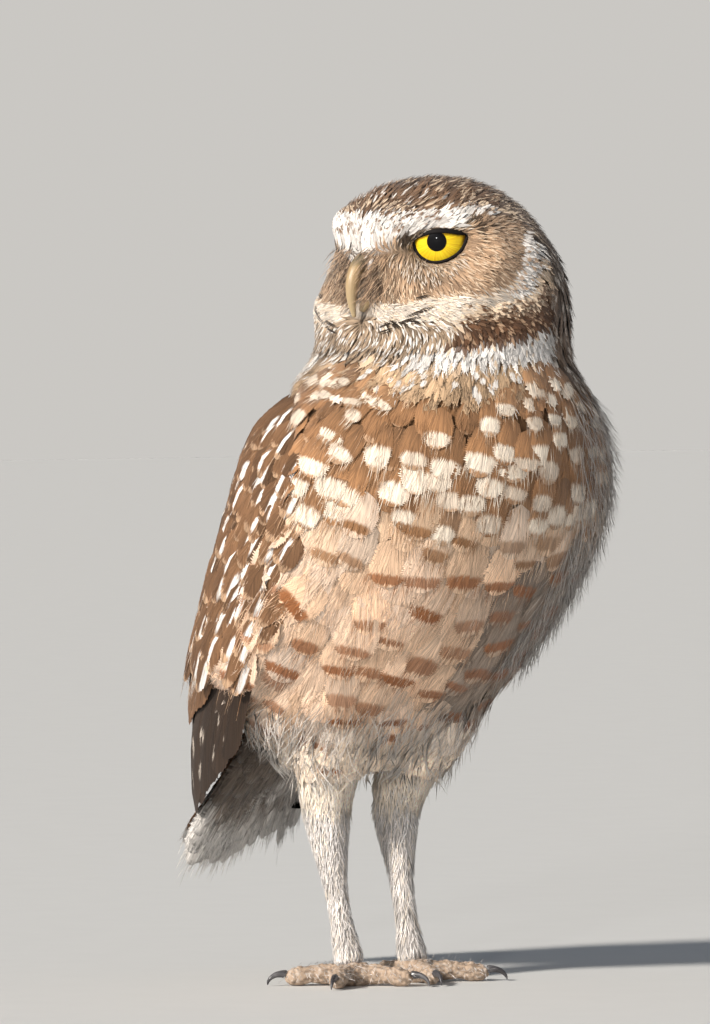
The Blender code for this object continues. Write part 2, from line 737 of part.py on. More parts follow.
def wing_vanes(side, rng):
    """The overlapping feathers of a wing, tier over tier."""
    pieces = []
    steps = np.linspace(0, 1, VANE_STEPS)
    taper = np.interp(steps, VANE_PLACES, WING_VANE_SHARES)
    for number, tier in enumerate(WING_TIERS):
        for i in range(tier["count"]):
            share = i / (tier["count"] - 1)
            root = np.array(tier["roots"][0]) * (1 - share) + np.array(tier["roots"][1]) * share
            tip = np.array(tier["tips"][0]) * (1 - share) + np.array(tier["tips"][1]) * share
            tip[1] -= tier["sag"] * math.sin(math.pi * share) + rng.uniform(-0.8, 0.8)
            angle = np.radians(root[0] + (tip[0] - root[0]) * steps**1.15)
            height = root[1] + (tip[1] - root[1]) * steps
            lift = tier["lift"][0] + (tier["lift"][1] - tier["lift"][0]) * np.minimum(1, steps * 1.8)
            path = round_body(MANTLE_STATIONS, height, side * angle, lift)
            above = round_body(MANTLE_STATIONS, height, side * angle, lift + 1.0)
            half = tier["width"] / 2 * taper
            tilt = -side * VANE_TILT
            pieces.append(vane(f"vane{number}_{i}", path, above - path, half, VANE_THICKNESS, tilt))
    return pieces


def make_wing(name, side, torso, material):
    """A folded wing as one body, with every vane rooted in its plate."""
    rng = np.random.default_rng(7)
    wing = wing_slab(name, side, material)
    fuse(wing, wing_vanes(side, rng))
    keep_clear(wing, torso, solver="MANIFOLD")
    return wing


def tail_directions():
    """The way the tail runs, its width and its upper side."""
    run = np.array([0, math.cos(TAIL_DROP), -math.sin(TAIL_DROP)])
    across = unit(np.cross(run, (0, 0, 1)))
    upper = np.cross(across, run)
    rolled = across * math.cos(TAIL_ROLL) + upper * math.sin(TAIL_ROLL)
    return run, rolled, np.cross(rolled, run)


def make_tail(material):
    """The tail fan, with the coverts over and under its roots."""
    run, across, upper = tail_directions()
    root = np.array(TAIL_ROOT)
    core_path = [root + run * ahead - upper * drop for ahead, drop in TAIL_CORE]
    sizes = (TAIL_CORE_WIDTHS, TAIL_CORE_HEIGHTS)
    tail = tube("tail", core_path, *sizes, TAIL_SIDES, material, up=upper)
    pieces = []
    steps = np.linspace(0, 1, VANE_STEPS)[:, None]
    taper = np.interp(steps[:, 0], VANE_PLACES, TAIL_VANE_SHARES)
    for number, (count, length, share_of_spread, offset, half_width) in enumerate(TAIL_TIERS):
        spread = TAIL_SPREAD * share_of_spread
        for i in range(count):
            share = i / (count - 1) * 2 - 1
            aim = unit(run * math.cos(spread / 2 * share) + across * math.sin(spread / 2 * share))
            reach = length * (1 - TAIL_ROUNDING * share * share)
            lift = offset * (1 - steps * TAIL_COVERT_FALL)
            path = root + aim * reach * steps + across * share * TAIL_ROOT_SPREAD + upper * lift
            normals = np.broadcast_to(upper, path.shape)
            tilt = VANE_TILT * (1 if share > 0 else -1)
            pieces.append(vane(f"vane{number}_{i}", path, normals, half_width * taper, VANE_THICKNESS, tilt))
    fuse(tail, pieces)
    return tail


def make_leg(name, points, torso, material):
    """The feathered shin, and the shank below it down to the foot."""
    ankle, knee, foot = np.array(points)
    ahead = (0, -1, 0)
    shin_path = knee + (ankle - knee) * np.linspace(0, 1, len(SHIN_RADII))[:, None]
    shin = tube(f"shin_{name}", shin_path, SHIN_RADII, SHIN_RADII, LEG_SIDES, material, up=ahead)
    steps = np.linspace(SHANK_START, 1, len(SHANK_RADII))
    shank_path = ankle + (foot - ankle) * steps[:, None]
    shank_path[:, 1] += SHANK_BOW * np.sin(steps * math.pi)
    sizes = (SHANK_RADII, SHANK_RADII)
    shank = tube(f"shank_{name}", shank_path, *sizes, LEG_SIDES, material, up=ahead, reach=0.3)
    keep_clear(shin, torso)
    keep_clear(shank, shin)
    return shin, shank


def make_foot(name, points, shank, skin, horn):
    """The sole and four toes, each with its claw, all flat on the ground."""
    middle = np.array(points[2]) * (1, 1, 0)
    sole = ball(f"foot_{name}", middle + (0, 0, SOLE_HEIGHT), SOLE_RADIUS, 6, 14, skin)
    cut_flat(sole, 0.0)
    keep_clear(sole, shank)
    made = [sole]
    steps = np.linspace(TOE_START, 1, TOE_RINGS)
    pads = 1 + TOE_PAD_RISE * np.cos(steps * 2 * math.pi * TOE_PADS)
    radius = TOE_RADIUS * pads * np.linspace(*TOE_TAPER, TOE_RINGS)
    arch = TOE_HEIGHT + TOE_ARCH * np.sin(steps * math.pi)
    for number, (heading, length, claw_length) in enumerate(TOES[name], start=1):
        turn = math.radians(heading)
        way = np.array([math.sin(turn), -math.cos(turn), 0.0])
        path = middle + way * (length * steps)[:, None] + np.array([0, 0, 1.0]) * arch[:, None]
        toe = tube(f"toe_{name}_{number}", path, radius, radius, TOE_SIDES, skin, reach=0.7)
        cut_flat(toe, 0.0)
        keep_clear(toe, sole, shank, solver="MANIFOLD")
        made.append(toe)
        claw = make_claw(f"claw_{name}_{number}", path[-1], way, claw_length, horn)
        keep_clear(claw, toe, solver="MANIFOLD")
        made.append(claw)
    return made


def make_claw(name, toe_end, way, length, material):
    """A claw that springs from the top of its toe and curves down to the ground."""
    steps = np.linspace(0, 1, CLAW_RINGS)
    bend = steps * CLAW_BEND
    radius = length / CLAW_BEND * CLAW_STRETCH
    ahead = radius * np.sin(bend)
    fall = radius * (1 - np.cos(bend)) * CLAW_DROP
    rise = np.maximum(toe_end[2] + CLAW_LIFT + CLAW_SPRING * ahead - fall, CLAW_LOWEST)
    path = toe_end * (1, 1, 0) + way * ahead[:, None] + np.array([0, 0, 1.0]) * rise[:, None]
    width = CLAW_RADIUS * (1 - CLAW_TAPER * steps)
    claw = tube(name, path, width * 0.85, width, 7, material)
    cut_flat(claw, 0.05)
    return claw


def stand_on_origin(nodes):
    """Moves the bird so that the middle of its footprint box is the origin."""
    corners = np.array([np.array(v.co) for obj in nodes for v in obj.data.vertices])
    low, high = corners.min(axis=0), corners.max(axis=0)
    shift = -np.array([(low[0] + high[0]) / 2, (low[1] + high[1]) / 2, low[2]])
    for obj in nodes:
        obj.location = shift


def main():
    clear_scene()
    breast = finish("breast_feather", (0.62, 0.47, 0.33), 0.85)
    head_feather = finish("head_feather", (0.45, 0.33, 0.22), 0.85)
    wing_feather = finish("wing_feather", (0.30, 0.20, 0.12), 0.8)
    leg_feather = finish("leg_feather", (0.72, 0.66, 0.57), 0.85)
    toe_skin = finish("toe_skin", (0.42, 0.33, 0.25), 0.7)
    claw_horn = finish("claw_horn", (0.05, 0.05, 0.055), 0.4)
    bill_horn = finish("bill_horn", (0.50, 0.45, 0.30), 0.45)
    eye_yellow = finish("eye", (0.90, 0.72, 0.03), 0.1)

    torso = make_torso(breast)
    neck = make_neck(breast)
    head = make_head(head_feather)
    nodes = [torso, neck, head, *make_eyes(eye_yellow), *make_bill(head, bill_horn)]
    tail = make_tail(wing_feather)
    keep_clear(tail, torso, solver="MANIFOLD")
    nodes.append(tail)
    for name, side in (("left", 1), ("right", -1)):
        wing = make_wing(f"wing_{name}", side, torso, wing_feather)
        keep_clear(wing, neck, tail, solver="MANIFOLD")
        nodes.append(wing)
    for name, points in LEGS.items():
        shin, shank = make_leg(name, points, torso, leg_feather)
        nodes += [shin, shank, *make_foot(name, points, shank, toe_skin, claw_horn)]
    stand_on_origin(nodes)
    for obj in nodes:
        shade(obj)


if __name__ == "__main__":
    main()
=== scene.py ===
"""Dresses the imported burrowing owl: skin, feathers, eyes, bill, legs and the stage.

All sizes in this file are in millimetres and degrees unless a name says otherwise.
The bird's breast faces -Y, its tail +Y and its left side +X. The head is turned over
its right shoulder.
"""

import math

import bmesh
import bpy
import numpy as np
from bpy.props import FloatProperty, FloatVectorProperty, IntProperty, PointerProperty
from mathutils import Matrix, Vector, noise
from mathutils.bvhtree import BVHTree
from mathutils.kdtree import KDTree


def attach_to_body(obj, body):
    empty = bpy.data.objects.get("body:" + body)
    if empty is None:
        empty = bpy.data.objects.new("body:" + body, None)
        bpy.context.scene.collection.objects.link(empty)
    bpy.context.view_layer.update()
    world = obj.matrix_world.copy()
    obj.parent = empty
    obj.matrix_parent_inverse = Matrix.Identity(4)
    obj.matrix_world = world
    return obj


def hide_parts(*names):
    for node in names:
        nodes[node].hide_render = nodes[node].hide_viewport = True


bl_info = {
    "name": "Burrowing Owl Looks",
    "version": (1, 0, 0),
    "blender": (4, 5, 0),
    "location": "View3D > Sidebar > Owl",
    "description": "Skin, feathers, eyes, bill and feet over the solids of a burrowing owl",
    "category": "Object",
}

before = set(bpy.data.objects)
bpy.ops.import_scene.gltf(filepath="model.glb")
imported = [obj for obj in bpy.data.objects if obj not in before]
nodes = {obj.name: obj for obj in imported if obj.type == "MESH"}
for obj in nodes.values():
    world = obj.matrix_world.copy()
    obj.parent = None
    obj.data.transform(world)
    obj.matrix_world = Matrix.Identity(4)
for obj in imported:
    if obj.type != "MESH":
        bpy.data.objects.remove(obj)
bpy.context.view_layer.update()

MM = 0.001
BODY = "root"
SIDES = {"left": 1, "right": -1}
MOST_TRIANGLES = 200_000

# The head: its upright axis, and the way the face looks
HEAD_AXIS = np.array([3.0, -27.0, 0.0])
HEAD_AHEAD = np.array([-0.9925, -0.1219, 0.0])
HEAD_LEFT = np.array([0.1219, -0.9925, 0.0])
HEAD_MIDDLE = 210.0
UP = np.array([0.0, 0.0, 1.0])

# The eye: its middle as distance ahead, aside and height, and the ball's radius
EYE_PLACE = (16.5, 15.1, 216.2)
EYE_RADIUS = 9.5
EYE_AIM = math.radians(30)
# The lids' opening, seen from this far outward of straight ahead, as across and up
LID_AIM = math.radians(47)
LID_OPENING = (
    (-7.3, -0.5), (-6.0, 0.3), (-4.0, 1.0), (-2.2, 1.45), (-0.4, 1.6), (1.4, 1.6), (3.1, 1.45),
    (4.8, 1.2), (6.2, 1.1), (6.9, 0.9), (6.5, -0.6), (6.0, -1.7), (5.4, -2.7), (4.3, -3.8),
    (3.1, -4.6), (1.9, -5.25), (0.7, -5.7), (-0.5, -6.0), (-1.6, -6.1), (-2.8, -6.0),
    (-4.0, -5.6), (-5.3, -4.8), (-6.3, -3.7), (-7.0, -2.2),
)
# The dark corners of the lids, as (ahead, left, height)
EYE_CORNERS = ((30.6, 14.6, 214.8), (15.2, 27.4, 218.8))
PUPIL_PLACE = (-1.25, -0.7)
PUPIL_RADIUS = 2.65
IRIS_RADIUS = 8.6

# The body under the wings: height, middle, half width, depth in front and behind
BODY_STATIONS = np.array([
    (182, 1.5, -27.0, 39.0, 38, 41.0),
    (176, 1.5, -26.5, 43.5, 41, 46.0),
    (165, 1.1, -25.0, 51.0, 43, 51.0),
    (153, 0.7, -23.0, 56.0, 45, 53.5),
    (139, 0.1, -20.0, 57.5, 46, 55.5),
    (125, -1.1, -14.5, 57.5, 47, 53.5),
    (111, -2.5, -8.5, 56.0, 45, 53.0),
    (97, -4.0, -2.0, 53.5, 41, 54.0),
    (83, -5.0, 5.0, 49.0, 36, 54.5),
    (69, -6.0, 12.0, 44.0, 30, 52.0),
    (55, -6.5, 19.0, 39.0, 25, 48.0),
    (40, -7.0, 25.0, 32.0, 20, 43.0),
])
BODY_DOWN = np.array([-0.056, 0.343, -0.938])
# The edges of the folded wing round the body: height and degrees from the breast
WING_FRONT = ((66, 120), (78, 104), (90, 92), (104, 80), (120, 72), (140, 69), (158, 74), (168, 84), (174, 98))
WING_BACK = ((66, 158), (78, 166), (90, 169), (104, 168), (120, 163), (140, 154), (158, 141), (168, 127), (174, 112))

# The tail's root, and how it points, spreads and rolls
TAIL_ROOT = np.array([-6.5, 34.0, 80.0])
TAIL_LENGTH = 57.0
TAIL_SPREAD = math.radians(32)
TAIL_DROP = math.radians(52)
TAIL_ROLL = math.radians(13)

# The height where the body's plumage ends and the legs' begins
LEG_TOP = 66.0

# The dark partings under the jaw, as (ahead, left, height) of both ends. Their dark is partly the feathers' dark bases
# and partly painted shade in the gaps.
SLIT_LINES = (
    ((34.4, 8.0, 190.6), (33.6, 15.0, 192.6)),
    ((34.4, 8.5, 189.2), (33.2, 13.5, 190.6)),
    ((32.3, 17.5, 193.4), (27.5, 24.2, 196.4)),
    ((33.2, 14.5, 191.6), (30.0, 21.0, 193.9)),
    ((31.0, 19.5, 199.4), (28.4, 23.2, 200.3)),
)

# The bill's middle line, as distance ahead of the head's axis and height
BILL_LINE = ((26.0, 210.0), (32.8, 209.2), (36.6, 204.6), (37.4, 199.0), (36.4, 193.8))
LOWER_BILL_LINE = ((24.0, 201.5), (29.0, 199.6), (32.0, 197.6), (33.4, 195.6))


# Small sums used everywhere below

def soft_step(value, low, high):
    share = np.clip((np.asarray(value, float) - low) / (high - low), 0, 1)
    return share * share * (3 - 2 * share)


def bell(value, middle, spread):
    return np.exp(-(((value - middle) / spread) ** 2))


def unit(vectors):
    return vectors / np.maximum(np.linalg.norm(vectors, axis=-1, keepdims=True), 1e-9)


def on_table(table, value):
    table = np.array(sorted(table))
    return np.interp(value, table[:, 0], table[:, 1])


def head_place(points):
    """Distance ahead of the head's axis, distance to its left, and height."""
    away = points - HEAD_AXIS
    return away @ HEAD_AHEAD, away @ HEAD_LEFT, points[..., 2]


def head_point(ahead, left, height):
    return HEAD_AXIS + HEAD_AHEAD * ahead + HEAD_LEFT * left + UP * height


def eye_place(points):
    """Distance from the nearer eye's middle over the face, and the angle from straight back."""
    ahead, left, height = head_place(points)
    outward = -math.sin(EYE_AIM) * (ahead - EYE_PLACE[0] - 8) + math.cos(EYE_AIM) * (abs(left) - EYE_PLACE[1] - 4)
    upward = height - EYE_PLACE[2]
    return np.hypot(outward, upward), np.degrees(np.arctan2(upward, outward))


def body_station(height):
    table = BODY_STATIONS[::-1]
    return [np.interp(height, table[:, 0], table[:, column]) for column in range(1, 6)]


def body_point(angle, height, lift=0.0):
    """A point of the body. The angle in degrees runs from the breast, positive on the left."""
    middle_x, middle_y, half, front, back = body_station(height)
    turn = np.radians(angle)
    depth = np.where(np.cos(turn) > 0, front, back)
    x = middle_x + (half + lift) * np.sin(turn)
    y = middle_y - (depth + lift) * np.cos(turn)
    return np.stack([x, y, np.broadcast_to(height, np.shape(x))], axis=-1)


def body_angle(points):
    middle_x, middle_y, half, front, back = body_station(points[..., 2])
    across = (points[..., 0] - middle_x) / half
    forth = middle_y - points[..., 1]
    return np.degrees(np.arctan2(across, forth / np.where(forth > 0, front, back)))


# The plumage. Each region names its ground colour, the colour of its marks, how many
# feathers carry one, the mark's place, half height, half width and distance from the
# shaft as shares of the feather, the feather's length and half width, and how far its
# root and tip stand off the skin.

REGIONS = {
    "crown": ("crown_brown", "cream", 0.6, (0.8, 0.17, 0.34, 0.0), (8.5, 1.25), (0.1, 1.1)),
    "forehead": ("forehead_brown", "white", 0.35, (0.78, 0.2, 0.36, 0.0), (6.5, 1.0), (0.1, 1.0)),
    "brow": ("white", "forehead_brown", 0.2, (0.9, 0.14, 0.5, 0.0), (6.5, 0.9), (0.1, 1.1)),
    "cheek": ("cheek_brown", "cream", 0.3, (0.8, 0.2, 0.5, 0.0), (5.5, 0.35), (0.1, 0.9)),
    "under_eye": ("grey_brown", "off_white", 0.45, (0.8, 0.25, 0.5, 0.0), (3.6, 0.25), (0.05, 0.7)),
    "lores": ("lores_brown", "cream", 0.3, (0.8, 0.25, 0.5, 0.0), (5.0, 0.28), (0.1, 1.0)),
    "moustache": ("off_white", "cream", 0.4, (0.6, 0.3, 0.5, 0.0), (7.0, 0.4), (0.1, 1.2)),
    "slits": ("slit_dark", "slit_dark", 0.0, (0.6, 0.3, 0.5, 0.0), (3.2, 0.4), (0.1, 0.8)),
    "rim": ("white", "cheek_brown", 0.3, (0.85, 0.15, 0.7, 0.0), (5.0, 0.7), (0.2, 1.3)),
    "ruff": ("cream", "collar_brown", 0.75, (0.9, 0.14, 0.9, 0.0), (5.5, 1.0), (0.3, 1.4)),
    "collar": ("collar_brown", "cheek_brown", 0.25, (0.9, 0.16, 0.6, 0.0), (7.0, 1.1), (0.2, 1.3)),
    "chin": ("grey_brown", "white", 0.35, (0.8, 0.25, 0.7, 0.0), (5.5, 0.5), (0.2, 1.2)),
    "throat": ("white", "cream", 0.15, (0.7, 0.3, 0.5, 0.0), (7.0, 1.1), (0.3, 1.3)),
    "cream_throat": ("throat_cream", "white", 0.3, (0.85, 0.2, 0.6, 0.0), (7.5, 1.7), (0.2, 1.4)),
    "nape": ("nape_brown", "off_white", 0.5, (0.82, 0.14, 0.5, 0.0), (9.0, 1.7), (0.2, 1.5)),
    "breast": ("breast_brown", "breast_white", 1.0, (0.8, 0.2, 0.95, 0.0), (14.0, 5.2), (1.0, 1.5)),
    "lower_breast": ("buff", "breast_brown", 1.0, (0.82, 0.12, 1.0, 0.0), (15.0, 5.8), (1.0, 1.4)),
    "belly": ("peach", "rufous", 1.0, (0.82, 0.13, 1.0, 0.0), (17.0, 6.4), (1.0, 1.4)),
    # Painted shade: the left flank is the belly's shaded copy. Its ground is a darker grey for the shade on the bird's
    # left side; its rufous bars are real.
    "shaded_left_flank": ("flank_grey", "rufous", 1.0, (0.82, 0.125, 0.95, 0.0), (16.5, 6.0), (1.0, 1.5)),
    "low_belly": ("low_cream", "rufous", 0.1, (0.85, 0.09, 0.7, 0.0), (15.0, 5.6), (1.0, 2.0)),
    "vent": ("off_white", "flank_grey", 0.3, (0.8, 0.15, 0.7, 0.0), (16.0, 5.2), (1.0, 2.2)),
    "back": ("wing_brown", "off_white", 0.6, (0.85, 0.1, 0.3, 0.42), (15.0, 4.8), (0.9, 1.6)),
    "shin": ("shin_buff", "white", 0.4, (0.7, 0.3, 0.6, 0.0), (8.0, 0.2), (0.1, 1.4)),
    "shank": ("leg_grey", "shin_buff", 0.2, (0.6, 0.3, 0.6, 0.0), (5.5, 0.13), (0.05, 1.0)),
}
REGION_NAMES = list(REGIONS)
# How far apart the feathers that carry a mark stay
MARKS_APART = {"breast": 5.3, "lower_breast": 7.2, "belly": 8.6, "shaded_left_flank": 8.0, "low_belly": 11.0}


def region_scores(points):
    """How strongly each place of the skin belongs to each region of the plumage."""
    ahead, left, height = head_place(points)
    aside = abs(left)
    around = np.degrees(np.arctan2(aside, ahead))
    reach, turn = eye_place(points)
    angle = body_angle(points)
    side = abs(angle)
    rim_reach = np.interp(turn, (-180, -135, -110, -85, -60, -45, -30, -10, 10), (27, 24, 19, 16.5, 18, 22, 25, 24, 21))
    on_head = soft_step(height, 184, 188)
    facing = soft_step(ahead, -14, -6)
    disc = on_head * facing
    brow_middle = np.interp(ahead, (8, 16, 21, 27, 31, 34, 36), (222.8, 222.3, 220.8, 219.4, 217.6, 215.2, 214.4))
    brow_half = np.interp(ahead, (6, 14, 21, 27, 31, 36), (0.2, 0.8, 1.2, 2.0, 2.9, 4.3))
    scores = {name: np.zeros(len(points)) for name in REGION_NAMES}
    scores["crown"] = on_head * soft_step(height, 213, 221) * 0.8
    scores["forehead"] = disc * soft_step(ahead, 14, 24) * soft_step(height, 219, 225) * 0.95
    scores["brow"] = disc * soft_step(ahead, 6, 12) * soft_step(brow_half + 0.8 - abs(height - brow_middle), 0, 1.6) * 1.5
    lower = disc * soft_step(-turn, -24, -8)
    scores["cheek"] = lower * soft_step(rim_reach - 1.5 - reach, 0, 2.5) * 1.1
    scores["cheek"] += disc * soft_step(ahead, -8, 2) * soft_step(226 - height, 0, 4) * soft_step(36 - abs(turn), 0, 16) * 0.9
    scores["under_eye"] = disc * soft_step(12.6 - reach, 0, 2.0) * 1.25 * soft_step(224.5 - height, 0, 3)
    front = disc * soft_step(ahead, 26, 30) * soft_step(17 - aside, 0, 5)
    scores["lores"] = front * bell(height, 206.5, 8.0) * 1.7
    scores["moustache"] = lower * bell(reach, rim_reach + 0.6, 3.4) * soft_step(around, 95, 70) * 1.3
    scores["moustache"] += disc * soft_step(ahead, 20, 27) * bell(height, 197.0, 3.0) * 0.9
    # The slits region is dark for the partings under the jaw, partly their feathers' dark bases and partly painted
    # shade. The lids' dark corners below are their own colour.
    slits = np.exp(-(((height - 193.4 - 0.16 * (aside - 16)) / 0.9) ** 2))
    scores["slits"] = disc * slits * soft_step(ahead, 24, 29) * soft_step(aside, 6, 10) * soft_step(25 - aside, 0, 4) * 1.7
    corners = [np.sqrt((ahead - a) ** 2 + (aside - b) ** 2 + (height - c) ** 2) for a, b, c in EYE_CORNERS]
    scores["slits"] += disc * (bell(corners[0], 0, 2.6) + bell(corners[1], 0, 2.4)) * 2.6
    scores["rim"] = lower * bell(reach, rim_reach, 1.9) * soft_step(around, 60, 75) * soft_step(221 - height, 0, 6) * 1.35
    scores["ruff"] = lower * bell(reach, rim_reach + 4.6, 2.0) * soft_step(around, 40, 55) * 1.2
    scores["collar"] = disc * bell(reach, rim_reach + 8.5, 4.0) * soft_step(around, 42, 58) * soft_step(height, 186, 190) * 1.15
    scores["chin"] = soft_step(ahead, 22, 30) * bell(height, 189.0, 4.5) * 1.2
    band = np.interp(around, (0, 36, 62, 95, 115), (184.0, 183.5, 187.0, 189.0, 190.5))
    scores["throat"] = bell(height, band, 3.2) * soft_step(-around, -112, -92) * (0.2 + 1.3 * soft_step(around, 22, 42)) * 1.2
    cream = np.interp(around, (0, 15, 35, 60, 80, 100), (0.7, 0.9, 1.8, 1.8, 1.0, 0.1))
    scores["cream_throat"] = bell(height, 177.5, 5.2) * cream
    scores["nape"] = soft_step(height, 168, 176) * soft_step(-ahead, 2, 14) * soft_step(224 - height, 0, 8) * 1.1
    scores["breast"] = soft_step(height, 139, 149) * (1 - soft_step(height, 178, 184)) * 0.9
    scores["lower_breast"] = bell(height, 139.0, 9.0) * 0.85
    # Painted shade: on the bird's left side the belly gives way to the left flank, whose darker grey ground is painted
    # shade.
    scores["belly"] = soft_step(146 - height, 0, 14) * soft_step(height, 72, 84) * (1 - 0.55 * soft_step(angle, -12, 18)) * 0.85
    scores["shaded_left_flank"] = soft_step(152 - height, 0, 20) * soft_step(height, 76, 92) * soft_step(angle, -14, 14) * 0.9
    scores["low_belly"] = soft_step(92 - height, 0, 14) * (1 - soft_step(points[:, 1], 8, 22)) * 0.85
    scores["vent"] = soft_step(92 - height, 0, 12) * soft_step(points[:, 1], 6, 20) * 1.1
    scores["back"] = soft_step(side, 108, 124) * soft_step(height, 74, 84) * (1 - soft_step(height, 176, 184)) * 1.3
    scores["shin"] = soft_step(LEG_TOP + 5 - height, 0, 4) * 1.6
    scores["shank"] = soft_step(58 - height, 0, 6) * 2.4
    return np.stack([scores[name] for name in REGION_NAMES], axis=1)


def region_table(column):
    return [REGIONS[name][column] for name in REGION_NAMES]


def colour_of(name):
    return np.array(getattr(bpy.context.scene.owl_colours, name))


def skin_colours(points):
    """The plumage's ground colour at each place, as the skin under it shows it."""
    scores = region_scores(points) ** 3
    weights = scores / np.maximum(scores.sum(axis=1, keepdims=True), 1e-9)
    grounds = np.array([colour_of(name) for name in region_table(0)])
    return weights @ grounds


def lie(points):
    """The way the feathers point at each place, before it is laid along the skin."""
    ahead, left, height = head_place(points)
    angle = body_angle(points)
    side = np.sign(left)[:, None]
    reach, turn = eye_place(points)
    # Over the head, from the bill up and back to the nape
    away = points - (HEAD_AXIS + UP * HEAD_MIDDLE)
    over = unit(np.cross(-HEAD_LEFT, away))
    # Over the face, away from the eye
    eye = EYE_PLACE[0] * HEAD_AHEAD + HEAD_AXIS + UP * EYE_PLACE[2] + side * HEAD_LEFT * EYE_PLACE[1]
    from_eye = unit(points - eye)
    cheek = unit(from_eye - 0.7 * HEAD_AHEAD - 0.25 * UP)
    # From the eye's inner corner towards the bill, then down over it
    to_bill = unit(-side * HEAD_LEFT * 0.35 - UP * 0.8 + HEAD_AHEAD * 0.2 + side * HEAD_LEFT * 0.5 * soft_step(215 - height, 0, 8)[:, None])
    # Along the jaw and down the neck
    jaw = unit(-HEAD_AHEAD * 0.8 - UP * 0.35 + side * HEAD_LEFT * 0.6)
    turned = np.radians(angle)
    outward = np.sign(angle)[:, None] * np.stack([np.cos(turned), np.sin(turned), np.zeros(len(points))], axis=1)
    fan = soft_step(abs(angle), 28, 78) * soft_step(156 - height, 0, 25) * soft_step(height, 74, 90) * (1 - soft_step(abs(angle), 100, 120))
    down = BODY_DOWN + outward * (0.4 * fan)[:, None]
    on_head = soft_step(height, 186, 194)[:, None]
    above_bill = soft_step(height, 210, 215) * soft_step(ahead, 23, 29)
    top = np.maximum(np.maximum(soft_step(height, 217, 223), soft_step(-ahead, 6, 16)), above_bill)[:, None]
    brow = (bell(height, 222, 5) * soft_step(ahead, 14, 24))[:, None]
    face = (soft_step(ahead, -12, -2) * (1 - soft_step(height, 219, 224)))[:, None]
    front = (soft_step(ahead, 24, 30) * soft_step(18 - abs(left), 0, 6) * (1 - soft_step(height, 208, 213)))[:, None]
    low = (soft_step(203 - height, 0, 6) * soft_step(ahead, 0, 12))[:, None]
    head_way = over * top + cheek * face * (1 - low) * (1 - top) + to_bill * front * 1.6 * (1 - low) + jaw * low * (1 - top)
    head_way += brow * (over * 0.3 + side * HEAD_LEFT * 0.9 - HEAD_AHEAD * 0.5)
    down = np.where(height[:, None] > 186, -UP + 0.2 * outward, down)
    way = head_way * on_head + down * (1 - on_head)
    legs = soft_step(70 - height, 0, 8)[:, None]
    return unit(way * (1 - legs) - UP * legs)


# Making meshes

def add_piece(name, points, triangles, material, values=None, bake=None, facing=None):
    """A piece of the model from points in millimetres, with values held at its points."""
    if len(triangles) > MOST_TRIANGLES:
        raise RuntimeError(f"{name} has {len(triangles)} triangles")
    old = bpy.data.objects.get(name)
    if old:
        bpy.data.objects.remove(old)
    mesh = bpy.data.meshes.new(name)
    mesh.vertices.add(len(points))
    mesh.vertices.foreach_set("co", (np.asarray(points) * MM).astype(np.float32).ravel())
    mesh.loops.add(triangles.size)
    mesh.loops.foreach_set("vertex_index", triangles.astype(np.int32).ravel())
    mesh.polygons.add(len(triangles))
    mesh.polygons.foreach_set("loop_start", np.arange(0, triangles.size, 3, dtype=np.int32))
    mesh.update(calc_edges=True)
    mesh.shade_smooth()
    for key, numbers in (values or {}).items():
        kind, field = ("FLOAT_COLOR", "color") if numbers.shape[1] == 4 else ("FLOAT_VECTOR", "vector")
        layer = mesh.attributes.new(key, kind, "POINT")
        layer.data.foreach_set(field, numbers.astype(np.float32).ravel())
    if bake is not None:
        layer = mesh.uv_layers.new(name="OFBake")
        layer.data.foreach_set("uv", bake[triangles.ravel()].astype(np.float32).ravel())
    if facing is not None:
        layer = mesh.attributes.new("custom_normal", "FLOAT_VECTOR", "POINT")
        layer.data.foreach_set("vector", facing.astype(np.float32).ravel())
    mesh.materials.append(material)
    obj = bpy.data.objects.new(name, mesh)
    bpy.context.scene.collection.objects.link(obj)
    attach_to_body(obj, BODY)
    return obj


def colour_values(colours):
    return np.concatenate([colours, np.ones((len(colours), 1))], axis=1)


def vane_width(along, widest=0.58, base=0.35):
    """A vane's half width, as a share of its widest, at each share of its length."""
    rising = base + (1 - base) * np.sin(np.pi / 2 * np.clip(along / widest, 0, 1))
    falling = np.sqrt(np.clip(1 - ((along - widest) / (1 - widest)) ** 2, 0, 1))
    return np.where(along < widest, rising, falling)


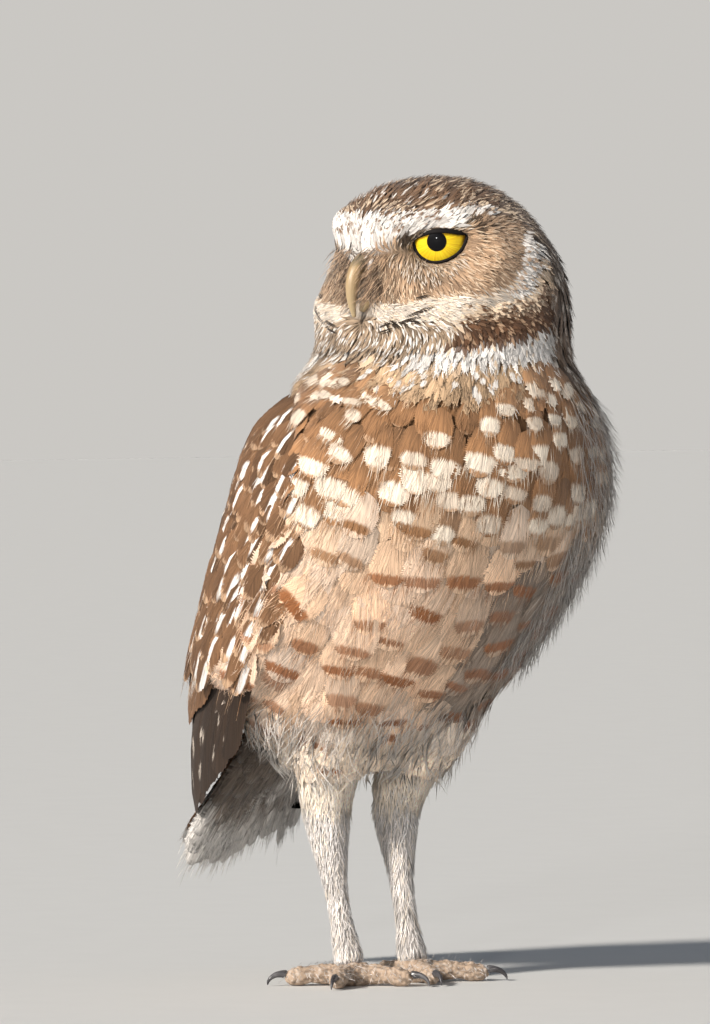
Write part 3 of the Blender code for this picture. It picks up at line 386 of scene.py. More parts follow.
def feather_pattern(stations, teeth, depth, widest, lean=0.5, base=0.35, first=0.1):
    """The outline of one vane: the points' places along and across it, and its triangles.

    The outline runs in teeth, each the end of a few barbs. The shaft has a point above
    and a point below at every station, so that the vane is one closed thin body.
    """
    attach = np.linspace(first, 0.985, 2 * teeth + 1)[1:]
    step = (0.985 - first) / (2 * teeth)
    width = vane_width(attach, widest, base)
    is_tooth = np.arange(2 * teeth) % 2 == 1
    cut = depth * (0.25 + 0.75 * soft_step(attach, 0.25, 0.8))
    across = np.where(is_tooth, width, width * (1 - cut))
    along = np.where(is_tooth, attach + lean * step * (0.3 + 0.7 * attach), attach)
    inner = np.arange(1, stations - 1) / (stations - 1)
    count = len(across)
    shaft = len(inner)
    u = np.concatenate([[0, 0], across, -across, np.zeros(2 * shaft)])
    v = np.concatenate([[0, 1.0 + lean * step], along, along, inner, inner])
    thick = np.concatenate([np.zeros(2 + 2 * count), np.ones(shaft), -np.ones(shaft)])
    tooth = np.concatenate([[0, 1], is_tooth, is_tooth, np.zeros(2 * shaft)])
    triangles = []
    for edge_start, mirror in ((2, False), (2 + count, True)):
        for shaft_start, under in ((2 + 2 * count, False), (2 + 2 * count + shaft, True)):
            edge = [0] + list(range(edge_start, edge_start + count)) + [1]
            spine = [0] + list(range(shaft_start, shaft_start + shaft)) + [1]
            edge_at = [0.0] + list(attach) + [1.01]
            spine_at = [0.0] + list(inner) + [1.0]
            i = j = 0
            while i < len(edge) - 1 or j < len(spine) - 1:
                step_edge = j == len(spine) - 1 or (i < len(edge) - 1 and edge_at[i + 1] <= spine_at[j + 1])
                corner = [edge[i], spine[j], edge[i + 1] if step_edge else spine[j + 1]]
                if len(set(corner)) == 3:
                    triangles.append(corner if mirror != under else corner[::-1])
                i, j = (i + 1, j) if step_edge else (i, j + 1)
    share = np.clip(v, 0, 1) * (stations - 1)
    low = np.minimum(share.astype(int), stations - 2)
    weights = np.zeros((len(v), stations))
    part = v * (stations - 1) - low
    weights[np.arange(len(v)), low] = 1 - part
    weights[np.arange(len(v)), low + 1] = part
    return {"u": u, "v": v, "thick": thick, "tooth": tooth, "weights": weights, "triangles": np.array(triangles), "step": step}


PATTERNS = {
    "soft": feather_pattern(10, 22, 0.19, 0.6, base=0.5),
    "small": feather_pattern(5, 7, 0.4, 0.52),
    "hair": feather_pattern(4, 1, 0.1, 0.4, 0.02, base=0.7),
    "covert": feather_pattern(7, 20, 0.12, 0.62, base=0.5),
    "flight": feather_pattern(9, 24, 0.05, 0.8, base=0.6, first=0.03),
}


def build_feathers(name, path, normals, half_widths, pattern, looks, unwrap, material, slot, rng,
                   thickness=0.14, camber=0.16, ragged=0.3, tilt=0.0, place=None, soft=True):
    """Joined feathers, each laid along its own path of points in millimetres.

    place holds, for loose barbs, where on their feather they lie: across, and along from and to.
    """
    shape = PATTERNS[pattern]
    count, stations, _ = path.shape
    lengths = np.linalg.norm(np.diff(path, axis=1), axis=2).sum(axis=1)
    tangents = unit(np.gradient(path, axis=1))
    sides = unit(np.cross(tangents, normals))
    normals = unit(np.cross(sides, tangents))
    sides = unit(sides + normals * np.asarray(tilt).reshape(-1, 1, 1) if np.ndim(tilt) else sides + normals * tilt)
    blend = lambda rows: np.einsum("jk,nkc->njc", shape["weights"], rows)
    u = np.broadcast_to(shape["u"], (count, len(shape["u"])))
    spread = 1 + ragged * rng.uniform(-0.5, 0.35, u.shape) * shape["tooth"]
    slip = ragged * rng.uniform(-0.8, 0.8, u.shape) * shape["step"] * shape["tooth"]
    half = half_widths[:, None]
    points = blend(path) + blend(sides) * (u * spread * half)[..., None]
    points += blend(normals) * (shape["thick"] * thickness / 2 - camber * u**2 * half)[..., None]
    points += blend(tangents) * (slip * lengths[:, None])[..., None]
    size = len(shape["u"])
    chance = rng.random(count)
    across, along = u, np.broadcast_to(shape["v"], u.shape)
    if place is not None:
        across = place[0][:, None] + 0.02 * u
        along = place[1][:, None] + (place[2] - place[1])[:, None] * along
    lay = np.stack([across, along, np.broadcast_to(chance[:, None], u.shape)], axis=2)
    values = {"lay": lay.reshape(-1, 3)}
    for key, numbers in looks.items():
        values[key] = np.repeat(numbers, size, axis=0)
    low, high = unwrap.min(axis=0), unwrap.max(axis=0)
    places = 0.004 + 0.992 * (unwrap - low) / np.maximum(high - low, 1e-6)
    patch = np.stack([shape["u"] * 0.0015, (np.clip(shape["v"], 0, 1) - 0.5) * 0.003], axis=1)
    bake = (places[:, None, :] + patch[None]).reshape(-1, 2)
    triangles = (shape["triangles"][None] + (np.arange(count) * size)[:, None, None]).reshape(-1, 3)
    # The light falls on each feather as on the soft rounded surface that they make together
    facing = unit(blend(normals) + blend(sides) * (0.3 * u)[..., None]) * np.where(shape["thick"] < 0, -1, 1)[:, None]
    return add_piece(name, points.reshape(-1, 3), triangles, material, values, bake, facing.reshape(-1, 3) if soft else None)


def build_barbs(name, path, normals, halves, looks, unwrap, material, slot, rng, each, width, reach=(0.25, 0.5),
                rise=0.7, camber=0.16, start=(0.45, 0.92)):
    """Loose barbs that lift off feathers and carry on past their edges in the same colours."""
    count, stations, _ = path.shape
    parent = np.repeat(np.arange(count), each)
    first = rng.uniform(*start, len(parent))
    aside = rng.uniform(-0.9, 0.9, len(parent))
    length = rng.uniform(*reach, len(parent))
    steps = np.linspace(0, 1, 4)
    along = first[:, None] + length[:, None] * steps
    low = np.minimum((np.clip(along, 0, 1) * (stations - 1)).astype(int), stations - 2)
    part = (along * (stations - 1) - low)[..., None]
    rows = parent[:, None]
    begin, end = path[rows, low], path[rows, low + 1]
    normal = unit(normals[rows, low])
    side = unit(np.cross(unit(end - begin), normal))
    half = halves[parent][:, None]
    spread = aside[:, None] * half * (vane_width(first)[:, None] + 0.15 * length[:, None] * steps)
    spread += rng.normal(0, 0.5, (len(parent), 1)) * steps**2
    lift = 0.1 - camber * (aside[:, None] ** 2) * half + rise * rng.uniform(0.3, 1.2, (len(parent), 1)) * steps**2
    barbs = begin + (end - begin) * part + side * spread[..., None] + normal * lift[..., None]
    looks = {key: numbers[parent] for key, numbers in looks.items()}
    place = (aside, first, np.minimum(first + length, 0.99))
    widths = width * rng.uniform(0.7, 1.3, len(parent))
    return build_feathers(name, barbs, normal, widths, "hair", looks, unwrap[parent], material, slot, rng,
                          thickness=0.06, camber=0, ragged=0, place=place)


def feather_looks(grounds, tints, marks, seconds=None, second_tints=None):
    """The values that colour each feather, from its colours and its marks' places."""
    looks = {"ground": colour_values(grounds), "tint": colour_values(tints), "mark": marks}
    looks["second_mark"] = marks * 0 - 9 if seconds is None else seconds
    looks["second_tint"] = colour_values(tints if second_tints is None else second_tints)
    return looks


def smooth_shell(shape, voxel, steps):
    """One smooth closed surface round everything in a bmesh: its points, normals and triangles."""
    joined = bpy.data.meshes.new("joined")
    shape.to_mesh(joined)
    shape.free()
    obj = bpy.data.objects.new("shell_base", joined)
    bpy.context.scene.collection.objects.link(obj)
    remesh = obj.modifiers.new("remesh", "REMESH")
    remesh.mode = "VOXEL"
    remesh.voxel_size = voxel * MM
    obj.modifiers.new("smooth", "SMOOTH").iterations = steps
    made = bpy.data.meshes.new_from_object(obj.evaluated_get(bpy.context.evaluated_depsgraph_get()))
    bpy.data.objects.remove(obj)
    points = np.empty(len(made.vertices) * 3)
    made.vertices.foreach_get("co", points)
    normals = np.empty(len(made.vertices) * 3)
    made.vertices.foreach_get("normal", normals)
    made.calc_loop_triangles()
    triangles = np.empty(len(made.loop_triangles) * 3, np.int32)
    made.loop_triangles.foreach_get("vertices", triangles)
    bpy.data.meshes.remove(made)
    return points.reshape(-1, 3) / MM, normals.reshape(-1, 3), triangles.reshape(-1, 3)


# Where feathers grow on the skin, and how they follow it

class Skin:
    """The skin's surface, for scattering roots over it and laying feathers along it."""

    def __init__(self, name="skin"):
        obj = bpy.data.objects.get(name)
        if obj is None:
            raise RuntimeError(f"The piece {name} has to be made before its feathers")
        mesh = obj.data
        mesh.calc_loop_triangles()
        self.points = np.empty(len(mesh.vertices) * 3)
        mesh.vertices.foreach_get("co", self.points)
        self.points = self.points.reshape(-1, 3) / MM
        self.triangles = np.empty(len(mesh.loop_triangles) * 3, np.int32)
        mesh.loop_triangles.foreach_get("vertices", self.triangles)
        self.triangles = self.triangles.reshape(-1, 3)
        self.tree = BVHTree.FromPolygons(self.points.tolist(), self.triangles.tolist())

    def roots(self, low, high, spacing, keep, seed):
        """Evenly scattered places between two heights where keep() is true."""
        rng = np.random.default_rng(seed)
        corners = self.points[self.triangles]
        middle = corners[:, :, 2].mean(axis=1)
        corners = corners[(middle > low) & (middle < high)]
        areas = np.linalg.norm(np.cross(corners[:, 1] - corners[:, 0], corners[:, 2] - corners[:, 0]), axis=1) / 2
        tries = int(areas.sum() / spacing**2 * 5)
        chosen = corners[rng.choice(len(corners), tries, p=areas / areas.sum())]
        a, b = rng.random((2, tries, 1))
        a, b = np.where(a + b > 1, 1 - a, a), np.where(a + b > 1, 1 - b, b)
        places = chosen[:, 0] + (chosen[:, 1] - chosen[:, 0]) * a + (chosen[:, 2] - chosen[:, 0]) * b
        places = places[keep(places)]
        tree = KDTree(len(places))
        for index, place in enumerate(places):
            tree.insert(place, index)
        tree.balance()
        free = np.ones(len(places), bool)
        kept = []
        for index in range(len(places)):
            if free[index]:
                kept.append(index)
                for _, other, _ in tree.find_range(places[index], spacing):
                    free[other] = False
        return places[kept]

    def nearest(self, points):
        found = [self.tree.find_nearest(point) for point in points.tolist()]
        return np.array([hit[0] for hit in found]), np.array([hit[1] for hit in found])

    def follow(self, roots, lengths, stations, sway, way=lie):
        """The paths of feathers along the skin, and the skin's normals under them."""
        path, normals = [], []
        point, normal = self.nearest(roots)
        for _ in range(stations):
            path.append(point)
            normals.append(normal)
            heading = way(point)
            heading = unit(heading - normal * (heading * normal).sum(axis=1, keepdims=True))
            heading = unit(heading + np.cross(normal, heading) * sway[:, None])
            moved = point + heading * (lengths / (stations - 1))[:, None]
            point, normal = self.nearest(moved)
        normals = np.stack(normals, axis=1)
        even = normals.copy()
        even[:, 1:-1] = (normals[:, :-2] + normals[:, 1:-1] + normals[:, 2:]) / 3
        return np.stack(path, axis=1), unit(even)


def thinned(roots, region, rng):
    """True for the feathers that may carry a mark, so that marks keep their distance."""
    allowed = np.zeros(len(roots), bool)
    apart = np.array([MARKS_APART.get(name, 0.0) for name in REGION_NAMES])[region]
    tree = KDTree(len(roots))
    for index, root in enumerate(roots):
        tree.insert(root, index)
    tree.balance()
    for index in rng.permutation(len(roots)):
        if not apart[index]:
            allowed[index] = True
            continue
        near = tree.find_range(roots[index], apart[index])
        allowed[index] = not any(allowed[other] and apart[other] for _, other, _ in near)
    return allowed


def choose_looks(roots, rng, chance_scale=1.0):
    """Region, colours, marks and sizes for feathers rooted at these places."""
    scores = region_scores(roots)
    scores = scores + rng.uniform(0, 0.22, scores.shape) * (scores > 0.05)
    region = scores.argmax(axis=1)
    colours = {name: colour_of(name) for name in set(region_table(0)) | set(region_table(1))}
    grounds = np.array([colours[name] for name in region_table(0)])[region]
    tints = np.array([colours[name] for name in region_table(1)])[region]
    grounds = 0.7 * grounds + 0.3 * skin_colours(roots)
    big = np.array([entry[4][1] > 4 for entry in REGIONS.values()])[region][:, None]
    greyer = (rng.uniform(-0.15, 0.4, (len(roots), 1)) * big * (grounds.mean(axis=1, keepdims=True) > 0.3)).clip(0, 1)
    grounds = grounds * (1 - greyer) + grounds.mean(axis=1, keepdims=True) * (1.04, 1.0, 0.96) * greyer
    cloud = np.array([noise.noise(Vector(root * 0.16)) for root in roots])[:, None]
    vary = np.where(big, 0.24, 0.34)
    grounds = grounds * (1 + vary * rng.uniform(-1, 1, (len(roots), 1))) * (1 + np.where(big, 0.3, 0.55) * cloud)
    tints = tints + (grounds - tints) * rng.uniform(0, 0.5, (len(roots), 1)) ** 1.5
    chance = np.array(region_table(2))[region] * chance_scale
    marks = np.array(region_table(3))[region]
    marks = marks * (1 + rng.uniform(-0.06, 0.06, marks.shape) * (1, 5, 4, 1))
    marked = (rng.random(len(roots)) < chance) & thinned(roots, region, rng)
    marks[~marked, 0] = -9
    sizes = np.array(region_table(4))[region] * rng.uniform(0.85, 1.15, (len(roots), 2))
    rises = np.array(region_table(5))[region] * rng.uniform(0.85, 1.15, (len(roots), 2))
    rises += np.array([0.3, 0.45]) * (marked & (sizes[:, 1] > 4))[:, None]
    sizes[:, 0] *= np.interp(roots[:, 2], (62, 92), (0.55, 1.0)) ** (sizes[:, 1] > 3)
    sizes *= (1 - 0.35 * soft_step(roots[:, 2], 160, 176) * (sizes[:, 1] > 3))[:, None]
    return region, grounds, tints, marks, sizes, rises


def coat_piece(skin, name, roots, pattern, material, slot, unwrap, seed, lengthen=1.0, widen=1.0, lift=1.0,
               base_lift=0.0, chance_scale=1.0, sway=0.12, way=lie, barbs=0, barb_width=0.12, barb_reach=(0.25, 0.5),
               barb_rise=0.7, **shape):
    """A piece of the coat: feathers of one pattern over these roots, and loose barbs on them."""
    rng = np.random.default_rng(seed)
    if not len(roots):
        return None
    _, grounds, tints, marks, sizes, rises = choose_looks(roots, rng, chance_scale)
    lengths = sizes[:, 0] * lengthen
    stations = PATTERNS[pattern]["weights"].shape[1]
    path, normals = skin.follow(roots, lengths, stations, rng.normal(0, sway, len(roots)), way)
    share = np.linspace(0, 1, stations)
    rise = base_lift + rises[:, :1] + (rises[:, 1:] * lift - base_lift - rises[:, :1]) * share
    path = path + normals * rise[..., None]
    seconds = np.tile((1.0, 0.07, 1.4, 0.0), (len(roots), 1)) * rng.uniform(0.94, 1.04, (len(roots), 4))
    tips = grounds + (colour_of("buff") - grounds) * rng.uniform(0.0, 0.55, (len(roots), 1))
    looks = feather_looks(grounds, tints, marks, seconds, tips) if pattern == "soft" else feather_looks(grounds, tints, marks)
    if barbs:
        build_barbs(f"{name}_barbs", path, normals, sizes[:, 1] * widen, looks, unwrap(roots), material, slot, rng, barbs, barb_width,
                    barb_reach, barb_rise, shape.get("camber", 0.16))
    return build_feathers(name, path, normals, sizes[:, 1] * widen, pattern, looks, unwrap(roots), material, slot, rng, **shape)


def unwrap_body(points):
    return np.stack([body_angle(points) / 360, points[:, 2] / 150], axis=1)


def unwrap_head(points):
    """Every direction from the head's middle laid flat, with the crown at the middle."""
    away = unit(points - (HEAD_AXIS + UP * HEAD_MIDDLE))
    spread = np.sqrt(np.clip(2 * (1 - away[:, 2]), 0, None)) / np.maximum(np.hypot(away[:, 0], away[:, 1]), 1e-6)
    return away[:, :2] * spread[:, None]


def unwrap_leg(points):
    side = np.where(points[:, 0] > -5.0, 0.0, 1.2)
    middle = np.where(points[:, 0] > -5.0, 7.0, -17.5)
    turn = np.arctan2(points[:, 0] - middle, -points[:, 1])
    return np.stack([turn / (2 * math.pi) + side, points[:, 2] / 50], axis=1)


# Materials

def new_group(name, inputs, outputs):
    """An empty shader group with named sockets, and a way to add nodes to it."""
    group = bpy.data.node_groups.get(name)
    if group:
        bpy.data.node_groups.remove(group)
    group = bpy.data.node_groups.new(name, "ShaderNodeTree")
    for socket, kind, default in inputs:
        made = group.interface.new_socket(socket, in_out="INPUT", socket_type=kind)
        if default is not None:
            made.default_value = default
    for socket, kind in outputs:
        group.interface.new_socket(socket, in_out="OUTPUT", socket_type=kind)
    return group, group.nodes.new("NodeGroupInput"), group.nodes.new("NodeGroupOutput")


class Wiring:
    """Short words for adding and joining the nodes of one tree."""

    def __init__(self, tree):
        self.tree = tree

    def node(self, kind, links=(), **settings):
        node = self.tree.nodes.new(kind)
        for key, value in settings.items():
            setattr(node, key, value)
        for socket, value in dict(links).items():
            self.put(node.inputs[socket], value)
        return node

    def put(self, socket, value):
        if isinstance(value, bpy.types.NodeSocket):
            self.tree.links.new(value, socket)
        else:
            socket.default_value = value

    def math(self, operation, *values, clamp=False):
        node = self.node("ShaderNodeMath", operation=operation, use_clamp=clamp)
        for index, value in enumerate(values):
            self.put(node.inputs[index], value)
        return node.outputs[0]

    def mix(self, share, first, second, blend="MIX"):
        node = self.node("ShaderNodeMix", data_type="RGBA", blend_type=blend)
        self.put(node.inputs[0], share)
        self.put(node.inputs[6], first)
        self.put(node.inputs[7], second)
        return node.outputs[2]

    def range(self, value, low, high, to_low=0.0, to_high=1.0, smooth=True):
        node = self.node("ShaderNodeMapRange", interpolation_type="SMOOTHSTEP" if smooth else "LINEAR")
        for index, number in enumerate((value, low, high, to_low, to_high)):
            self.put(node.inputs[index], number)
        return node.outputs[0]

    def noise(self, vector, scale, detail=2.0, roughness=0.5):
        links = {"Vector": vector, "Scale": scale, "Detail": detail, "Roughness": roughness}
        return self.node("ShaderNodeTexNoise", links).outputs[0]

    def attribute(self, name):
        return self.node("ShaderNodeAttribute", attribute_name=name)

    def group(self, group, **links):
        node = self.tree.nodes.new("ShaderNodeGroup")
        node.node_tree = group
        for socket, value in links.items():
            self.put(node.inputs[socket.replace("_", " ")], value)
        return node

    def combine(self, x, y, z):
        return self.node("ShaderNodeCombineXYZ", {"X": x, "Y": y, "Z": z}).outputs[0]


def barb_group():
    """Fine lines that leave the shaft at a slant, from the place on the feather."""
    inputs = (
        ("Lay", "NodeSocketVector", None),
        ("Across", "NodeSocketFloat", 1.0),
        ("Along", "NodeSocketFloat", 0.4),
        ("Fineness", "NodeSocketFloat", 12.0),
    )
    group, given, made = new_group("Barb lines", inputs, (("Streak", "NodeSocketFloat"), ("Height", "NodeSocketFloat")))
    w = Wiring(group)
    parts = w.node("ShaderNodeSeparateXYZ", {0: given.outputs["Lay"]}).outputs
    away = w.math("ABSOLUTE", parts[0])
    across = w.math("MULTIPLY", away, given.outputs["Across"])
    slant = w.math("SUBTRACT", across, w.math("MULTIPLY", parts[1], given.outputs["Along"]))
    side = w.math("MULTIPLY", w.math("GREATER_THAN", parts[0], 0.0), 7.3)
    which = w.math("ADD", w.math("MULTIPLY", parts[2], 61.0), side)
    broad = w.noise(w.combine(w.math("MULTIPLY", slant, given.outputs["Fineness"]), w.math("MULTIPLY", parts[1], 1.6), which), 1.0, 2.0, 0.6)
    fine = w.noise(w.combine(w.math("MULTIPLY", slant, w.math("MULTIPLY", given.outputs["Fineness"], 3.1)), w.math("MULTIPLY", parts[1], 2.4), which), 1.0, 1.0, 0.5)
    both = w.math("ADD", w.math("MULTIPLY", broad, 0.6), w.math("MULTIPLY", fine, 0.4))
    w.put(made.inputs["Streak"], w.range(both, 0.36, 0.64))
    w.put(made.inputs["Height"], both)
    return group


def mark_group():
    """A bar, spot or streak of a feather, with its edges frayed along the barbs."""
    inputs = (
        ("Lay", "NodeSocketVector", None),
        ("Mark", "NodeSocketVector", None),
        ("Aside", "NodeSocketFloat", 0.0),
        ("Streak", "NodeSocketFloat", 0.5),
        ("Fray", "NodeSocketFloat", 0.06),
    )
    group, given, made = new_group("Feather mark", inputs, (("Mask", "NodeSocketFloat"),))
    w = Wiring(group)
    lay = w.node("ShaderNodeSeparateXYZ", {0: given.outputs["Lay"]}).outputs
    mark = w.node("ShaderNodeSeparateXYZ", {0: given.outputs["Mark"]}).outputs
    frayed = w.math("ADD", lay[1], w.math("MULTIPLY", w.math("SUBTRACT", given.outputs["Streak"], 0.5), given.outputs["Fray"]))
    along = w.math("SUBTRACT", frayed, mark[0])
    along = w.math("POWER", w.math("ABSOLUTE", w.math("DIVIDE", along, mark[1])), 3.0)
    across = w.math("SUBTRACT", lay[0], given.outputs["Aside"])
    across = w.math("POWER", w.math("ABSOLUTE", w.math("DIVIDE", across, mark[2])), 3.0)
    w.put(made.inputs["Mask"], w.range(w.math("ADD", along, across), 0.3, 1.6, 1.0, 0.0))
    return group


def principled(name, roughness, specular=0.35, sheen=0.0):
    """A new material with its shader, and the wiring of its tree."""
    old = bpy.data.materials.get(name)
    if old:
        bpy.data.materials.remove(old)
    material = bpy.data.materials.new(name)
    material.use_nodes = True
    shader = material.node_tree.nodes["Principled BSDF"]
    shader.inputs["Roughness"].default_value = roughness
    shader.inputs["Specular IOR Level"].default_value = specular
    shader.inputs["Sheen Weight"].default_value = sheen
    shader.inputs["Sheen Roughness"].default_value = 0.5
    return material, shader, Wiring(material.node_tree)


def plumage_material(name, across, along, fineness, contrast, fray, bump, shaft=0.0, edge=0.0, sheen=0.25):
    """Feathers coloured by the values they carry, lined along their barbs."""
    material, shader, w = principled(name, 0.72, 0.25, sheen)
    lay = w.attribute("lay").outputs["Vector"]
    ground = w.attribute("ground").outputs["Color"]
    tint = w.attribute("tint").outputs["Color"]
    second_tint = w.attribute("second_tint").outputs["Color"]
    mark = w.attribute("mark")
    second = w.attribute("second_mark")
    barbs = w.group(bpy.data.node_groups["Barb lines"], Lay=lay, Across=across, Along=along, Fineness=fineness).outputs
    marks = bpy.data.node_groups["Feather mark"]
    first_mask = w.group(marks, Lay=lay, Mark=mark.outputs["Vector"], Aside=mark.outputs["Alpha"], Streak=barbs["Streak"], Fray=fray).outputs[0]
    second_mask = w.group(marks, Lay=lay, Mark=second.outputs["Vector"], Aside=second.outputs["Alpha"], Streak=barbs["Streak"], Fray=fray).outputs[0]
    colour = w.mix(first_mask, ground, tint)
    colour = w.mix(second_mask, colour, second_tint)
    parts = w.node("ShaderNodeSeparateXYZ", {0: lay}).outputs
    # Painted shade: each feather darkens towards its root, where the feathers over it shade it.
    root_shade = w.range(parts[1], 0.0, 0.5, 0.72, 1.0)
    lines = w.range(barbs["Streak"], 0.0, 1.0, 1.0 - contrast, 1.0 + contrast, smooth=False)
    light = w.math("MULTIPLY", root_shade, lines)
    away = w.math("ABSOLUTE", parts[0])
    rachis = w.range(away, 0.02, 0.07, 1.0 - shaft, 1.0)
    # Painted light: the sides of each vane are lightened by edge, as light shining through their thin edges.
    rim = w.range(away, 0.6, 0.95, 1.0, 1.0 + edge)
    # light joins the painted root shade and edge light with the barb lines and the darker shaft, which are the
    # feathers' own.
    light = w.math("MULTIPLY", w.math("MULTIPLY", light, rachis), rim)
    shade = w.node("ShaderNodeCombineColor", {0: light, 1: light, 2: light}).outputs[0]
    w.put(shader.inputs["Base Color"], w.mix(1.0, colour, shade, "MULTIPLY"))
    height = w.node("ShaderNodeBump", {"Height": barbs["Height"], "Strength": bump, "Distance": 0.0004})
    w.put(shader.inputs["Normal"], height.outputs[0])
    return material


def skin_material():
    material, shader, w = principled("skin_down", 0.85, 0.2, 0.2)
    ground = w.attribute("ground").outputs["Color"]
    place = w.node("ShaderNodeTexCoord").outputs["Object"]
    tufts = w.noise(w.node("ShaderNodeMapping", {"Vector": place, "Scale": (1400, 1400, 260)}).outputs[0], 1.0, 3.0, 0.6)
    # Painted shade: the down is darkened to between 0.35 and 0.8 of its ground, in tufts, for the shade deep under the
    # feathers.
    light = w.range(tufts, 0.3, 0.7, 0.35, 0.8)
    shade = w.node("ShaderNodeCombineColor", {0: light, 1: light, 2: light}).outputs[0]
    w.put(shader.inputs["Base Color"], w.mix(1.0, ground, shade, "MULTIPLY"))
    w.put(shader.inputs["Normal"], w.node("ShaderNodeBump", {"Height": tufts, "Strength": 0.6, "Distance": 0.0005}).outputs[0])
    return material


def make_materials():
    barb_group()
    mark_group()
    return {
        "skin": skin_material(),
        # edge is the painted light along each vane's sides.
        "soft": plumage_material("body_plumage", 1.0, 0.45, 16.0, 0.3, 0.07, 0.7, shaft=0.08, edge=0.05),
        "head": plumage_material("head_plumage", 1.0, 0.2, 5.0, 0.3, 0.14, 0.5),
        "vane": plumage_material("wing_vanes", 0.45, 1.0, 42.0, 0.3, 0.06, 0.7, shaft=0.25, edge=0.35, sheen=0.03),
        "leg": plumage_material("leg_plumage", 1.0, 0.2, 4.0, 0.25, 0.1, 0.5),
    }


def material_for(key):
    names = {"skin": "skin_down", "soft": "body_plumage", "head": "head_plumage", "vane": "wing_vanes", "leg": "leg_plumage"}
    material = bpy.data.materials.get(names[key])
    return material or make_materials()[key]


# Settings that a user would change

def colour_setting(name, description, default):
    return FloatVectorProperty(name=name, description=description, default=default, subtype="COLOR", size=3, min=0, max=1)


class OwlColours(bpy.types.PropertyGroup):
    """The colours of the plumage and the bare parts."""

    white: colour_setting("White", "Brow, throat and rim of the face", (0.78, 0.74, 0.70))
    off_white: colour_setting("Off white", "Moustache, leg and vent feathers", (0.70, 0.61, 0.52))
    breast_white: colour_setting("Breast spot", "Round spots of the breast", (0.92, 0.80, 0.66))
    cream: colour_setting("Cream", "Streaks of the crown and the chin", (0.72, 0.55, 0.39))
    throat_cream: colour_setting("Throat cream", "Feathers under the throat band", (0.47, 0.32, 0.195))
    crown_brown: colour_setting("Crown brown", "Ground of the crown", (0.115, 0.062, 0.033))
    forehead_brown: colour_setting("Forehead brown", "Ground of the forehead", (0.20, 0.115, 0.065))
    # Partly the dark bases of parted feathers, partly painted shade in the partings; also the lids' dark corners.
    slit_dark: colour_setting("Slit", "Parted feathers under the jaw", (0.03, 0.018, 0.01))
    cheek_brown: colour_setting("Cheek brown", "Side of the face", (0.45, 0.29, 0.18))
    grey_brown: colour_setting("Grey brown", "Round the eye", (0.34, 0.245, 0.165))
    lores_brown: colour_setting("Lores brown", "Bristly feathers beside the bill", (0.27, 0.18, 0.115))
    collar_brown: colour_setting("Collar brown", "Dark collar behind the rim", (0.10, 0.045, 0.02))
    nape_brown: colour_setting("Nape brown", "Ground of the nape", (0.14, 0.085, 0.05))
    breast_brown: colour_setting("Breast brown", "Ground of the breast", (0.30, 0.15, 0.066))
    buff: colour_setting("Buff", "Ground under the breast", (0.74, 0.51, 0.34))
    peach: colour_setting("Peach", "Ground of the belly", (0.80, 0.54, 0.36))
    rufous: colour_setting("Rufous", "Bars of the belly", (0.30, 0.11, 0.035))
    # Painted shade: a darker grey for the belly's ground on the bird's shaded left side, also used for the vent's
    # marks.
    flank_grey: colour_setting("Flank grey", "Ground of the left flank", (0.26, 0.20, 0.155))
    low_cream: colour_setting("Low cream", "Lower belly", (0.95, 0.76, 0.58))
    wing_brown: colour_setting("Wing brown", "Ground of wings and back", (0.175, 0.09, 0.044))
    wing_spot: colour_setting("Wing spot", "Spots of wings and tail", (0.92, 0.88, 0.84))
    # Partly painted shade: the near black of the wing's lower edge is its dark feathers darkened further for shade. The
    # beds under the coverts take it as painted shade in the gaps.
    wing_edge_and_shade: colour_setting("Wing edge", "Dark feathers of the wing's lower edge", (0.035, 0.02, 0.012))
    under_grey: colour_setting("Under grey", "Shaded feathers under the tail", (0.20, 0.16, 0.13))
    # Partly painted light: a pale buff raised further to make up for the shade under the belly.
    shin_buff: colour_setting("Shin buff", "Upper leg", (0.98, 0.84, 0.68))
    leg_grey: colour_setting("Leg grey", "Lower leg", (0.82, 0.78, 0.76))
    iris: colour_setting("Iris", "Ring of the eye", (0.95, 0.74, 0.03))
    lid: colour_setting("Lid", "Bare rim of the lids", (0.010, 0.008, 0.008))
    horn: colour_setting("Horn", "Bill", (0.42, 0.29, 0.15))
    cere: colour_setting("Cere", "Soft base of the bill", (0.17, 0.155, 0.10))
    toe: colour_setting("Toe", "Skin of the toes", (0.46, 0.34, 0.25))
    claw: colour_setting("Claw", "Dark horn of the claws", (0.045, 0.042, 0.045))


class OwlCoat(bpy.types.PropertyGroup):
    """The spacing of the feathers, the fineness and smoothing of the skin under them, and the seed of the scatter."""

    voxel: FloatProperty(name="Skin fineness", description="Voxel size of the skin, in millimetres", default=1.25, min=0.8, max=3)
    smoothing: IntProperty(name="Skin smoothing", description="Smoothing steps of the skin", default=14, min=0, max=60)
    body_spacing: FloatProperty(name="Body spacing", description="Distance between body feathers, in millimetres", default=4.7, min=1, max=12)
    crown_spacing: FloatProperty(name="Crown spacing", description="Distance between crown feathers, in millimetres", default=1.75, min=0.6, max=5)
    face_spacing: FloatProperty(name="Face spacing", description="Distance between face feathers, in millimetres", default=0.52, min=0.3, max=4)
    leg_spacing: FloatProperty(name="Leg spacing", description="Distance between leg feathers, in millimetres", default=0.62, min=0.3, max=4)
    seed: IntProperty(name="Seed", description="Number that the scatter starts from", default=11, min=0)


# Operators

